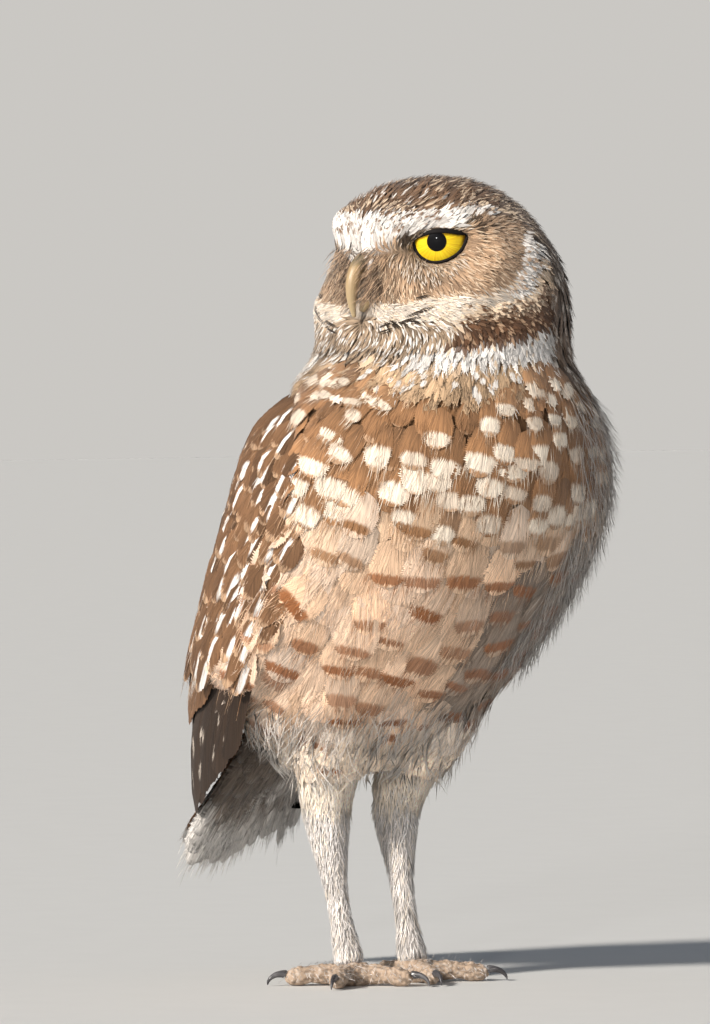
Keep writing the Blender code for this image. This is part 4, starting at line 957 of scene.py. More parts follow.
class OWL_OT_skin(bpy.types.Operator):
    """One skin over torso, neck, head and legs, set in by the depth of the coat"""

    bl_idname = "owl.skin"
    bl_label = "Skin"

    def execute(self, context):
        settings = context.scene.owl_coat
        flesh = ["torso", "neck", "head", "shin_left", "shin_right", "shank_left", "shank_right"]
        shape = bmesh.new()
        for name in flesh:
            shape.from_mesh(nodes[name].data)
        for side in SIDES.values():
            ball = Matrix.Translation(Vector(eye_middle(side) * MM))
            bmesh.ops.create_icosphere(shape, subdivisions=4, radius=(EYE_RADIUS + 0.4) * MM, matrix=ball)
        points, normals, triangles = smooth_shell(shape, settings.voxel, settings.smoothing)
        height = points[:, 2]
        ahead = head_place(points)[0]
        depth = np.interp(height, (0, 55, 75, 95, 170, 190, 215), (0.5, 0.6, 1.8, 2.4, 2.4, 1.4, 1.1))
        depth *= 1 - 0.35 * soft_step(ahead, 5, 20) * soft_step(height, 186, 194)
        points -= normals * depth[:, None]
        # Breast and flanks swell towards the wings, so that their feathers run on over the wings' front edges
        angle = body_angle(points)
        past = abs(angle) - on_table(WING_FRONT, height) - np.where(angle > 0, 10, 0)
        swell = soft_step(past, -36, -6) * (1 - soft_step(past, 9, 17)) * soft_step(height, 78, 92) * (1 - soft_step(height, 166, 178))
        middle = np.stack([*body_station(height)[:2], height], axis=-1)
        outer = body_point(angle, height, -1.6)
        short = np.linalg.norm(outer - middle, axis=1) - np.linalg.norm(points - middle, axis=1)
        points += unit(outer - middle) * (np.clip(short, 0, 12) * swell)[:, None]
        for side in SIDES.values():
            away = points - eye_middle(side)
            reach = np.linalg.norm(away, axis=1)
            beyond, before = beyond_lids(points, side)
            opening = beyond < 0.3
            points[opening] -= (away * (1 - (EYE_RADIUS - 0.6) / reach)[:, None])[opening]
            around = ~opening & (beyond < 8)
            most = 1.7 * np.clip(beyond - 0.9, 0, None) - 0.6
            points[around] -= eye_axes(LID_AIM, side)[0] * np.clip(before - most, 0, None)[around, None]
        values = {"ground": colour_values(skin_colours(points))}
        add_piece("skin", points, triangles, material_for("skin"), values)
        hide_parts(*flesh)
        return {"FINISHED"}


class OWL_OT_head_coat(bpy.types.Operator):
    """The small feathers of crown, nape, face and throat"""

    bl_idname = "owl.head_coat"
    bl_label = "Head coat"

    def execute(self, context):
        settings = context.scene.owl_coat
        skin = Skin()
        material = material_for("head")

        def clear_of_eye(points):
            ahead, left, height = head_place(points)
            clear = np.ones(len(points), bool)
            for side in SIDES.values():
                clear &= beyond_lids(points, side)[0] > 0.95
            bill = (abs(left) < 3.2) & (ahead > 29) & (height < 211) & (height > 193)
            return clear & ~bill

        def is_face(points):
            ahead, _, height = head_place(points)
            return (ahead > -2) & (height < 225 - 0.1 * ahead) & (height > 188)

        parts = (
            ("coat_crown", lambda p: ~is_face(p) & (head_place(p)[0] > -6), 196, 240, settings.crown_spacing),
            ("coat_nape", lambda p: ~is_face(p) & (head_place(p)[0] <= -6), 172, 240, settings.crown_spacing * 1.3),
            ("coat_throat", lambda p: ~is_face(p) & (head_place(p)[0] > -6), 174, 196, settings.crown_spacing * 0.95),
        )
        for number, (name, keep, low, high, spacing) in enumerate(parts):
            roots = skin.roots(low, high, spacing, lambda p: keep(p) & clear_of_eye(p), settings.seed + number)
            coat_piece(skin, name, roots, "small", material, "head_feather", unwrap_head, settings.seed + number, sway=0.16,
                       barbs=4, barb_width=0.13, barb_rise=0.5)
        roots = skin.roots(186, 228, settings.face_spacing, lambda p: is_face(p) & clear_of_eye(p), settings.seed + 5)
        left = head_place(roots)[1] > 0
        for name, chosen in (("coat_face_left", left), ("coat_face_right", ~left)):
            coat_piece(skin, name, roots[chosen], "hair", material, "head_feather", unwrap_head, settings.seed + 6, sway=0.22,
                       camber=0.0, thickness=0.1, ragged=0.2)
        self.bristles(skin, settings, material)
        self.slits(skin, settings, material)
        return {"FINISHED"}

    def bristles(self, skin, settings, material):
        """Stiff hair-like feathers that lie forward over the sides of the bill."""
        def beside_bill(points):
            ahead, left, height = head_place(points)
            return (ahead > 24) & (abs(left) > 2.6) & (abs(left) < limit) & (height > 200) & (height < 214.5)

        def forward(points):
            side = np.sign(head_place(points)[1])[:, None]
            return unit(HEAD_AHEAD * 0.9 - UP * 0.75 - side * HEAD_LEFT * 0.12)

        limit = 8.5
        roots = skin.roots(200, 216, 0.62, beside_bill, settings.seed + 8)
        limit = 13.5
        roots = np.concatenate([roots, skin.roots(200, 216, 1.5, beside_bill, settings.seed + 8)])
        rng = np.random.default_rng(settings.seed + 9)
        count = len(roots)
        _, normals = skin.nearest(roots)
        heading = unit(forward(roots) + rng.normal(0, 0.2, (count, 3)) + normals * 0.35)
        steps = np.linspace(0, 1, 4)
        lengths = rng.uniform(3.5, 8.0, count)
        path = roots[:, None, :] + heading[:, None, :] * (lengths[:, None] * steps)[..., None]
        path = path - UP * (lengths[:, None] * 0.22 * steps**2)[..., None]
        colours = colour_of("lores_brown") * rng.uniform(0.3, 2.4, (count, 1))
        looks = feather_looks(colours, colours, np.tile((-9.0, 1, 1, 0), (count, 1)))
        build_feathers("coat_bristles", path, np.repeat(normals[:, None, :], 4, axis=1), rng.uniform(0.08, 0.16, count), "hair", looks,
                       unwrap_head(roots), material, "head_feather", rng, thickness=0.08, camber=0, ragged=0)

    def slits(self, skin, settings, material):
        """The dark partings between the feathers of the jaw: dark hairs for the feathers' dark bases and for painted
        shade in the gaps.
        """
        rng = np.random.default_rng(settings.seed + 14)
        lines = np.array(SLIT_LINES, float)
        steps = np.linspace(0, 1, 4)
        paths, normals = [], []
        for side in SIDES.values():
            for low_end, high_end in lines:
                ends = [head_point(ahead, side * left, height) for ahead, left, height in (low_end, high_end)]
                for _ in range(6):
                    drift = rng.normal(0, 0.3, 3)
                    line = ends[0] + (ends[1] - ends[0]) * steps[:, None] + drift
                    on_skin, normal = skin.nearest(line)
                    paths.append(on_skin + normal * 1.25)
                    normals.append(normal)
        paths, normals = np.array(paths), np.array(normals)
        count = len(paths)
        colours = np.tile(colour_of("slit_dark"), (count, 1))
        looks = feather_looks(colours, colours, np.tile((-9.0, 1, 1, 0), (count, 1)))
        build_feathers("coat_slits", paths, normals, rng.uniform(0.07, 0.15, count), "hair", looks, unwrap_head(paths[:, 0]), material,
                       "head_feather", rng, thickness=0.12, camber=0, ragged=0)


class OWL_OT_body_coat(bpy.types.Operator):
    """The soft feathers of breast, belly, flanks and back"""

    bl_idname = "owl.body_coat"
    bl_label = "Body coat"

    def execute(self, context):
        settings = context.scene.owl_coat
        skin = Skin()
        material = material_for("soft")

        def shows(points):
            height = points[:, 2]
            angle = body_angle(points)
            side = abs(angle)
            covered = (side > on_table(WING_FRONT, height) + np.where(angle > 0, 18, 8)) & (side < on_table(WING_BACK, height) - 4)
            return ~(covered & (height > 80) & (height < 172))

        roots = skin.roots(66, 180, settings.body_spacing, shows, settings.seed + 21)
        angle = body_angle(roots)
        height = roots[:, 2]
        parts = {
            "coat_breast": (abs(angle) <= 100) & (height > 138),
            "coat_belly": (abs(angle) <= 100) & (height <= 138) & (height > 100),
            "coat_low_belly": (abs(angle) <= 100) & (height <= 100),
            "coat_back": abs(angle) > 100,
        }
        for number, (name, chosen) in enumerate(parts.items()):
            coat_piece(skin, name, roots[chosen], "soft", material, "breast_feather", unwrap_body, settings.seed + 30 + number,
                       ragged=0.22, camber=0.045, barbs=23, barb_width=0.085, barb_reach=(0.25, 0.6),
                       barb_rise=0.4)
        self.fringe(skin, settings, material)
        return {"FINISHED"}

    def fringe(self, skin, settings, material):
        """Long pale loose barbs that stand out at the bird's left side and under the belly."""
        def on_side(points):
            angle = body_angle(points)
            return (angle > 22) & (angle < 80) & (points[:, 2] > 96)

        roots = skin.roots(66, 172, 1.35, lambda p: on_side(p) | ((p[:, 2] < 84) & (abs(body_angle(p)) < 100)), settings.seed + 24)
        rng = np.random.default_rng(settings.seed + 25)
        count = len(roots)
        lengths = rng.uniform(7, 15, count)
        path, normals = skin.follow(roots, lengths, 4, rng.normal(0, 0.35, count))
        steps = np.linspace(0, 1, 4)
        path = path + normals * (1.8 + rng.uniform(0.3, 5.0, (count, 1)) * steps**1.5)[..., None]
        ground = 0.8 * colour_of("white") + 0.2 * skin_colours(roots)
        ground = ground * rng.uniform(0.8, 1.15, (count, 1))
        looks = feather_looks(ground, ground, np.tile((-9.0, 1, 1, 0), (count, 1)))
        build_feathers("coat_fringe", path, normals, rng.uniform(0.07, 0.14, count), "hair", looks, unwrap_body(roots), material,
                       "breast_feather", rng, thickness=0.07, camber=0, ragged=0)


class OWL_OT_leg_coat(bpy.types.Operator):
    """The short hair-like feathers of the legs"""

    bl_idname = "owl.leg_coat"
    bl_label = "Leg coat"

    def execute(self, context):
        settings = context.scene.owl_coat
        skin = Skin()
        roots = skin.roots(4, LEG_TOP + 8, settings.leg_spacing, lambda p: p[:, 2] < LEG_TOP + 6, settings.seed + 50)
        coat_piece(skin, "coat_legs", roots, "hair", material_for("leg"), "leg_feather", unwrap_leg, settings.seed + 51, sway=0.25,
                   camber=0.0, thickness=0.1, ragged=0.2)
        return {"FINISHED"}


def wing_path(roots, tips, lifts, side, stations):
    """Paths over the body from (angle, height) roots to tips, with lifts at both ends."""
    share = np.linspace(0, 1, stations)
    angle = roots[:, :1] + (tips[:, :1] - roots[:, :1]) * share**1.15
    height = roots[:, 1:] + (tips[:, 1:] - roots[:, 1:]) * share
    lift = lifts[:, :1] + (lifts[:, 1:] - lifts[:, :1]) * np.minimum(1, share * 1.6)
    path = body_point(side * angle, height, lift)
    above = body_point(side * angle, height, lift + 1.0)
    return path, unit(above - path)


class OWL_OT_wings(bpy.types.Operator):
    """The folded wings: their beds, coverts and flight feathers"""

    bl_idname = "owl.wings"
    bl_label = "Wings"

    def execute(self, context):
        for name, side in SIDES.items():
            self.bed(name, side)
            self.coverts(context, name, side)
            self.flight(context, name, side)
        return {"FINISHED"}

    def bed(self, name, side):
        heights = np.linspace(172, 62, 34)
        shares = np.linspace(0, 1, 25)
        layers = []
        for lift in (-4.0, -8.0):
            front = on_table(WING_FRONT, heights)[:, None] + (12 if side > 0 else 2)
            back = on_table(WING_BACK, heights)[:, None] - 2
            angle = front + (back - front) * shares
            edge = np.sin(np.pi * shares) ** 0.4
            layers.append(body_point(side * angle, np.broadcast_to(heights[:, None], angle.shape), -6 + (lift + 6) * edge))
        points = np.concatenate([layer.reshape(-1, 3) for layer in layers])
        triangles = slab_triangles(len(heights), len(shares), side < 0)
        # Painted shade: the bed under the coverts is near black, for the shade in the gaps between the feathers over
        # it.
        colours = np.broadcast_to(colour_of("wing_edge_and_shade"), points.shape)
        values = {"ground": colour_values(colours)}
        bed = add_piece(f"wing_bed_{name}", points, triangles, material_for("skin"), values)
        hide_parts(f"wing_{name}")

    def coverts(self, context, name, side):
        rng = np.random.default_rng(context.scene.owl_coat.seed + 60 + side)
        roots, tips, halves, kinds = [], [], [], []
        for row, height in enumerate(np.arange(173, 108, -4.4)):
            part = (173 - height) / 64
            front = on_table(WING_FRONT, height) + (10 if side > 0 else -3)
            back = on_table(WING_BACK, height) + 4
            gap = 5.0 + 2.2 * part
            count = max(4, int((back - front) * math.radians(54) / gap))
            for i in range(count + 1):
                share = (i + 0.5 * (row % 2)) / count
                angle = front + (back - front) * min(share, 1.0) + rng.uniform(-2.0, 2.0)
                tall = height + rng.uniform(-2.2, 2.2)
                length = (14 + 9 * part + 5 * soft_step(share, 0.6, 0.9)) * rng.uniform(0.85, 1.15)
                drift = 0.34 * length * (0.8 + 0.4 * share)
                roots.append((angle, tall))
                tips.append((min(angle + drift, 176), tall - length))
                halves.append((3.0 + 1.3 * part + 0.8 * share) * rng.uniform(0.85, 1.15))
                kinds.append(share)
        roots, tips, halves, kinds = map(np.array, (roots, tips, halves, kinds))
        lifts = np.stack([np.full(len(roots), -3.6), rng.uniform(-0.6, 0.6, len(roots)) + 0.4], axis=1) - (2.5 if side > 0 else 0)
        path, normals = wing_path(roots, tips, lifts, side, PATTERNS["covert"]["weights"].shape[1])
        ground = colour_of("wing_brown") * rng.uniform(0.6, 1.35, (len(roots), 1))
        spot = colour_of("wing_spot") * rng.uniform(0.8, 1.1, (len(roots), 1))
        marks = np.tile((0.74, 0.24, 0.25, 0.42), (len(roots), 1)) * rng.uniform(0.85, 1.15, (len(roots), 4))
        marks[:, 3] *= np.where(rng.random(len(roots)) < 0.7, side, -side)
        marks[rng.random(len(roots)) > 0.7, 0] = -9
        seconds = np.tile((1.0, 0.06, 1.2, 0.0), (len(roots), 1)) * rng.uniform(0.95, 1.03, (len(roots), 4))
        edge = np.tile(colour_of("cheek_brown"), (len(roots), 1)) * rng.uniform(0.8, 1.3, (len(roots), 1))
        looks = feather_looks(ground, spot, marks, seconds, edge)
        unwrap = np.stack([roots[:, 0], roots[:, 1]], axis=1)
        build_barbs(f"wing_barbs_{name}", path, normals, halves, looks, unwrap, material_for("vane"), "wing_feather", rng, 7, 0.09,
                    rise=0.35, camber=0.3)
        build_feathers(f"wing_coverts_{name}", path, normals, halves, "covert", looks, unwrap, material_for("vane"),
                       "wing_feather", rng, thickness=0.35, camber=0.22, ragged=0.2, tilt=-0.12 * side)

    def flight(self, context, name, side):
        rng = np.random.default_rng(context.scene.owl_coat.seed + 80 + side)
        # The first tier's near-black ground is the dark feathers darkened further as painted shade.
        tiers = (
            (13, ((80 if side < 0 else 108, 106), (142, 92)), ((92 if side < 0 else 130, 66), (160, 54)), 11.0, 5.4, (-4.6, -2.8), "wing_edge_and_shade"),
            (11, ((88, 128), (154, 126)), ((114, 82), (172, 76)), 5.0, 6.0, (-4.6, -1.6), "wing_brown"),
            (12, ((82, 142), (152, 144)), ((102, 102), (168, 98)), 3.0, 5.6, (-4.4, -0.5), "wing_brown"),
        )
        for number, (count, root_ends, tip_ends, sag, half, lift, ground_name) in enumerate(tiers):
            share = np.linspace(0, 1, count)[:, None]
            roots = np.array(root_ends[0]) * (1 - share) + np.array(root_ends[1]) * share
            tips = np.array(tip_ends[0]) * (1 - share) + np.array(tip_ends[1]) * share
            tips[:, 1] -= sag * np.sin(np.pi * share[:, 0]) + rng.uniform(-1, 1, count)
            lifts = np.stack([np.full(count, lift[0]), lift[1] + rng.uniform(-0.2, 0.2, count)], axis=1) - (2 if side > 0 else 0)
            path, normals = wing_path(roots, tips, lifts, side, 9)
            ground = colour_of(ground_name) * rng.uniform(0.85, 1.15, (count, 1))
            spot = np.tile(colour_of("wing_spot") * (0.5, 0.45, 0.4), (count, 1)) if number < 2 else np.tile(colour_of("wing_spot"), (count, 1))
            marks = np.tile((0.9, 0.035, 0.4, 0.6), (count, 1))
            seconds = np.tile((0.7, 0.035, 0.34, 0.66), (count, 1))
            looks = feather_looks(ground, spot, marks, seconds, spot)
            build_feathers(f"wing_flight_{number + 1}_{name}", path, normals, np.full(count, half), "flight", looks, roots,
                           material_for("vane"), "wing_feather", rng, thickness=0.4, camber=0.12, ragged=0.1, tilt=-0.16 * side)


def slab_triangles(rows, columns, flip):
    """Triangles of a closed slab whose points are two grids, outer then inner."""
    index = np.arange(rows * columns).reshape(rows, columns)
    quads = []
    for layer in (0, 1):
        grid = index + layer * rows * columns
        four = np.stack([grid[:-1, :-1], grid[:-1, 1:], grid[1:, 1:], grid[1:, :-1]], axis=-1).reshape(-1, 4)
        quads.append(four if layer == 0 else four[:, ::-1])
    ring = np.concatenate([index[0, :-1], index[:-1, -1], index[-1, :0:-1], index[:0:-1, 0]])
    after = np.roll(ring, -1)
    quads.append(np.stack([after, ring, ring + rows * columns, after + rows * columns], axis=1))
    quads = np.concatenate(quads)
    triangles = np.concatenate([quads[:, (0, 1, 2)], quads[:, (0, 2, 3)]])
    return triangles[:, ::-1] if not flip else triangles


def tail_directions():
    """The way the tail runs, its width and its upper side."""
    run = np.array([0, math.cos(TAIL_DROP), -math.sin(TAIL_DROP)])
    across = unit(np.cross(run, UP))
    upper = np.cross(across, run)
    rolled = across * math.cos(TAIL_ROLL) + upper * math.sin(TAIL_ROLL)
    return run, rolled, np.cross(rolled, run)


class OWL_OT_tail(bpy.types.Operator):
    """The tail fan, and the coverts over and under it"""

    bl_idname = "owl.tail"
    bl_label = "Tail"

    def execute(self, context):
        rng = np.random.default_rng(context.scene.owl_coat.seed + 90)
        run, across, upper = tail_directions()
        steps = np.linspace(0, 1, 9)
        share = np.linspace(-1, 1, 12)
        rise = 1.6 * (1 - abs(share)) + rng.uniform(-0.2, 0.2, 12)
        path = self.fan(share, TAIL_LENGTH * (1 - 0.09 * share**2) - 1, 1.0, steps, rise)
        normals = np.broadcast_to(upper, path.shape)
        ground = colour_of("wing_brown") * rng.uniform(0.8, 1.1, (12, 1))
        spot = np.tile(colour_of("wing_spot") * 0.8, (12, 1))
        looks = feather_looks(ground, spot, np.tile((0.98, 0.07, 1.3, 0.0), (12, 1)), np.tile((0.72, 0.03, 0.36, 0.5), (12, 1)), spot)
        unwrap = np.stack([share, share * 0], axis=1) + (0, 0.5)
        tail = build_feathers("tail_vanes", path, normals, np.full(12, 5.6), "flight", looks, unwrap, material_for("vane"),
                              "wing_feather", rng, thickness=0.4, camber=0.1, ragged=0.1, tilt=np.sign(share) * 0.16, soft=False)
        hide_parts("tail")
        self.coverts("tail_upper_coverts", rng, 1, 90, (-3, 30), (16, 22), ("wing_brown", "wing_spot"), "covert", "vane")
        self.coverts("tail_under_coverts", rng, -1, 230, (-16, 36), (18, 24), ("under_grey", "white"), "soft", "soft")
        return {"FINISHED"}

    def fan(self, share, length, width, steps, rise):
        run, across, upper = tail_directions()
        turn = TAIL_SPREAD / 2 * share * width
        aim = run * np.cos(turn)[:, None] + across * np.sin(turn)[:, None]
        path = TAIL_ROOT + aim[:, None, :] * (length[:, None] * steps)[..., None]
        return path + (across * (share * 7.5)[:, None])[:, None, :] + upper * (rise[:, None] * (1 - 0.5 * steps))[..., None]

    def coverts(self, name, rng, face, count, starts, lengths, colours, pattern, finish):
        """Feathers over or under the tail's roots, in rows that end down the fan."""
        run, across, upper = tail_directions()
        stations = PATTERNS[pattern]["weights"].shape[1]
        share = rng.uniform(-1, 1, count)
        start = np.sort(rng.uniform(*starts, count))[::-1]
        length = rng.uniform(*lengths, count)
        turn = TAIL_SPREAD / 2 * share
        aim = run * np.cos(turn)[:, None] + across * np.sin(turn)[:, None]
        room = 1 - (start - starts[0]) / (starts[1] - starts[0])
        half = 9 + 6 * room
        off = face * (1.5 + (5 if face > 0 else 12) * room * np.sqrt(np.clip(1 - share**2, 0, 1)))
        root = TAIL_ROOT + aim * start[:, None] + across * (share * half)[:, None] + upper * off[:, None]
        steps = np.linspace(0, 1, stations)
        path = root[:, None, :] + aim[:, None, :] * (length[:, None] * steps)[..., None]
        drop = face * (1.6 * steps - room[:, None] * 5 * steps)
        path = path + upper * drop[..., None]
        tipped = unit(upper * face + across * (share * 0.7)[:, None])
        normals = np.broadcast_to(tipped[:, None, :], path.shape)
        ground = colour_of(colours[0]) * rng.uniform(0.6, 1.25, (count, 1))
        tint = np.tile(colour_of(colours[1]), (count, 1)) * rng.uniform(0.7, 1.05, (count, 1))
        if face < 0:
            patch = bell(start, 4, 7) * bell(share, 0.35, 0.45)
            pale = (np.maximum(soft_step(start, 15, 24), 0.7 * patch) + 0.5 * (rng.random(count) < 0.06))[:, None]
            ground = ground + (tint - ground) * np.clip(pale, 0, 1)
        marks = np.tile((0.85, 0.1, 0.5, 0.0), (count, 1))
        marks[rng.random(count) > (0.4 if face > 0 else 0.1), 0] = -9
        looks = feather_looks(ground, tint, marks)
        unwrap = np.stack([share, start / 40], axis=1)
        halves = rng.uniform(3.8, 5.4, count)
        build_barbs(f"{name}_barbs", path, normals, halves, looks, unwrap, material_for(finish),
                    "breast_feather" if finish == "soft" else "wing_feather", rng, 14, 0.1, rise=0.6)
        build_feathers(name, path, normals, halves, pattern, looks, unwrap, material_for(finish),
                       "breast_feather" if finish == "soft" else "wing_feather", rng, thickness=0.25, ragged=0.4, soft=False)


def eye_middle(side):
    return head_point(EYE_PLACE[0], side * EYE_PLACE[1], EYE_PLACE[2])


def eye_axes(aim, side):
    """The way an eye looks, its outward side and its upper side."""
    look = HEAD_AHEAD * math.cos(aim) + HEAD_LEFT * side * math.sin(aim)
    outward = -HEAD_AHEAD * math.sin(aim) + HEAD_LEFT * side * math.cos(aim)
    return look, outward, UP


def lid_curve(count=96):
    """The opening between the lids as a smooth closed curve of even steps."""
    corners = np.array(LID_OPENING)
    turns = np.linspace(0, len(corners), count, endpoint=False)
    low = turns.astype(int)
    part = (turns - low)[:, None]
    p = [corners[(low + step) % len(corners)] for step in (-1, 0, 1, 2)]
    return 0.5 * (2 * p[1] + (p[2] - p[0]) * part + (2 * p[0] - 5 * p[1] + 4 * p[2] - p[3]) * part**2
                  + (3 * p[1] - p[0] - 3 * p[2] + p[3]) * part**3)


def lid_edge(side):
    """The opening's edge on the eyeball: directions from its middle, turns round the opening, and the lid's width there."""
    look, outward, up = eye_axes(LID_AIM, side)
    curve = lid_curve()
    x, z = curve[:, 0], curve[:, 1]
    edge = unit(outward * x[:, None] + up * z[:, None] + look * np.sqrt(np.clip(EYE_RADIUS**2 - x**2 - z**2, 1, None))[:, None])
    turn = np.arctan2(z - z.mean(), x - x.mean())
    corner = bell(np.cos(turn), 1, 0.2) * 2.0 + bell(np.cos(turn), -1, 0.2) * 2.8
    return edge, turn, 0.75 + 0.5 * soft_step(np.sin(turn), -0.2, 0.7) + 0.7 * corner


def beyond_lids(points, side):
    """How far each point lies outside the lids' opening, seen from its front, and how far it stands out before the edge."""
    look, outward, up = eye_axes(LID_AIM, side)
    away = points - eye_middle(side)
    curve = lid_curve()
    middle = curve.mean(axis=0)
    x, z = away @ outward - middle[0], away @ up - middle[1]
    turns = lid_edge(side)[1]
    order = np.argsort(turns)
    edge = np.stack([np.linalg.norm(curve - middle, axis=1), np.sqrt(EYE_RADIUS**2 - (curve**2).sum(axis=1))])[:, order]
    reach, depth = [np.interp(np.arctan2(z, x), turns[order], row, period=2 * math.pi) for row in edge]
    before = away @ look
    return np.where(before > 0, np.hypot(x, z) - reach, 99.0), before - depth


class OWL_OT_eyes(bpy.types.Operator):
    """The eyes and their dark lids"""

    bl_idname = "owl.eyes"
    bl_label = "Eyes and lids"

    def execute(self, context):
        ball_finish = self.ball_material()
        lid_finish = self.lid_material()
        for name, side in SIDES.items():
            self.ball(name, side, ball_finish)
            self.lids(name, side, lid_finish)
        return {"FINISHED"}

    def ball(self, name, side, material):
        look, outward, up = eye_axes(LID_AIM, side)
        x, z = PUPIL_PLACE
        gaze = unit(outward * x + up * z + look * math.sqrt(EYE_RADIUS**2 - x * x - z * z))
        across = unit(np.cross(up, gaze))
        above = np.cross(gaze, across)
        rings, around = 64, 72
        polar = np.linspace(0, math.pi, rings)[1:-1]
        turn = np.linspace(0, 2 * math.pi, around, endpoint=False)
        grid_polar, grid_turn = np.meshgrid(polar, turn, indexing="ij")
        bulge = EYE_RADIUS + 0.45 * np.exp(-((grid_polar / 0.75) ** 2))
        points = (np.cos(grid_polar)[..., None] * gaze + (np.sin(grid_polar) * np.cos(grid_turn))[..., None] * across
                  + (np.sin(grid_polar) * np.sin(grid_turn))[..., None] * above) * bulge[..., None]
        points = np.concatenate([points.reshape(-1, 3), gaze[None] * (EYE_RADIUS + 0.45), -gaze[None] * EYE_RADIUS]) + eye_middle(side)
        reach = np.sin(np.clip(grid_polar, 0, math.pi / 2)) * EYE_RADIUS + np.clip(grid_polar - math.pi / 2, 0, None) * EYE_RADIUS
        place = np.stack([reach * np.cos(grid_turn), reach * np.sin(grid_turn), reach * 0], axis=-1).reshape(-1, 3)
        place = np.concatenate([place, [(0, 0, 0), (20, 0, 0)]])
        triangles = closed_rings(rings - 2, around)
        beyond, _ = beyond_lids(points, side)
        # The second value of shows is a painted shadow of the upper lid over the top of the ball.
        upper = soft_step((points - eye_middle(side)) @ up, -3, 0)
        shows = np.stack([beyond < 0.5, upper * (1 - soft_step(-beyond, 0, 1.3)), upper * 0], axis=1)
        eye = add_piece(f"eyeball_{name}", points, triangles, material, {"lay": place, "shows": shows})
        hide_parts(f"eye_{name}")

    def ball_material(self):
        material, shader, w = principled("eye_glass", 0.4, 0.05)
        shader.inputs["Coat Weight"].default_value = 0.2
        shader.inputs["Coat Roughness"].default_value = 0.02
        lay = w.attribute("lay").outputs["Vector"]
        reach = w.node("ShaderNodeVectorMath", {0: lay}, operation="LENGTH").outputs["Value"]
        rays = w.noise(w.node("ShaderNodeVectorMath", {0: lay}, operation="NORMALIZE").outputs[0], 26.0, 3.0, 0.6)
        iris = tuple(colour_of("iris")) + (1,)
        deep = (iris[0] * 0.8, iris[1] * 0.62, iris[2] * 0.5, 1)
        colour = w.mix(w.range(rays, 0.35, 0.65), iris, deep)
        colour = w.mix(w.range(reach, 6.2, IRIS_RADIUS), colour, (0.55, 0.30, 0.01, 1))
        shows = w.node("ShaderNodeSeparateXYZ", {0: w.attribute("shows").outputs["Vector"]}).outputs
        # Painted shadow of the upper lid: the top of the iris goes dark amber under it.
        colour = w.mix(w.range(shows[1], 0.0, 1.0, 0.0, 0.85), colour, (0.12, 0.05, 0.004, 1))
        colour = w.mix(w.range(reach, PUPIL_RADIUS, PUPIL_RADIUS + 0.22, 1.0, 0.0), colour, (0.003, 0.003, 0.004, 1))
        colour = w.mix(w.range(reach, IRIS_RADIUS - 0.3, IRIS_RADIUS), colour, (0.02, 0.015, 0.01, 1))
        colour = w.mix(shows[0], (0.02, 0.015, 0.01, 1), colour)
        w.put(shader.inputs["Base Color"], colour)
        return material

    def lids(self, name, side, material):
        """A thin shell over the ball, open where the eye shows, with a rolled edge."""
        look, outward, up = eye_axes(LID_AIM, side)
        edge, turn, rim = lid_edge(side)
        count = len(edge)
        far = math.radians(66)
        outer = unit((outward * np.cos(turn)[:, None] + up * np.sin(turn)[:, None]) * math.sin(far) + look * math.cos(far))
        room = np.arccos(np.clip((edge * outer).sum(axis=1), -1, 1)) * EYE_RADIUS
        shares = (0.0, 0.12, 0.45, 0.9, 1.5, 2.1)
        lifts = (0.25, 0.5, 0.6, 0.5, 0.3, -1.6)
        rings = []
        for share, lift in zip(shares, lifts):
            along = (share * rim / room)[:, None]
            rings.append(unit(edge * (1 - along) + outer * along) * (EYE_RADIUS + 0.25 + lift))
        rings.append(unit(edge * (1 - along) + outer * along) * (EYE_RADIUS - 2.2))
        rings.append(edge * (EYE_RADIUS - 0.6))
        points = np.concatenate(rings) + eye_middle(side)
        index = np.arange(len(rings) * count).reshape(len(rings), count)
        after = np.roll(index, -1, axis=1)
        below = np.roll(index, -1, axis=0)
        below_after = np.roll(after, -1, axis=0)
        quads = np.stack([index, after, below_after, below], axis=-1).reshape(-1, 4)
        triangles = np.concatenate([quads[:, (0, 1, 2)], quads[:, (0, 2, 3)]])
        if side < 0:
            triangles = triangles[:, ::-1]
        away = np.concatenate([np.full(count, share / 2.1) for share in shares] + [np.ones(count), np.zeros(count)])
        values = {"lay": np.stack([away, np.tile(turn, len(rings)), away * 0], axis=1)}
        add_piece(f"lids_{name}", points, triangles, material, values)

    def lid_material(self):
        material, shader, w = principled("lid_skin", 0.65, 0.12)
        lay = w.attribute("lay").outputs["Vector"]
        away = w.node("ShaderNodeSeparateXYZ", {0: lay}).outputs[0]
        place = w.node("ShaderNodeTexCoord").outputs["Object"]
        grain = w.noise(place, 2500.0, 3.0, 0.6)
        dark = tuple(colour_of("lid")) + (1,)
        grey = tuple(colour_of("grey_brown") * 0.35) + (1,)
        w.put(shader.inputs["Base Color"], w.mix(w.range(away, 0.45, 0.8), dark, grey))
        w.put(shader.inputs["Normal"], w.node("ShaderNodeBump", {"Height": grain, "Strength": 0.4, "Distance": 0.0003}).outputs[0])
        return material


def closed_rings(rings, around):
    """Triangles over rings of points, closed by one point at each end."""
    index = np.arange(rings * around).reshape(rings, around)
    after = np.roll(index, -1, axis=1)
    quads = np.stack([index[:-1], index[1:], after[1:], after[:-1]], axis=-1).reshape(-1, 4)
    first, last = rings * around, rings * around + 1
    caps = np.concatenate([
        np.stack([np.full(around, first), index[0], after[0]], axis=1),
        np.stack([np.full(around, last), after[-1], index[-1]], axis=1),
    ])
    return np.concatenate([quads[:, (0, 1, 2)], quads[:, (0, 2, 3)], caps])


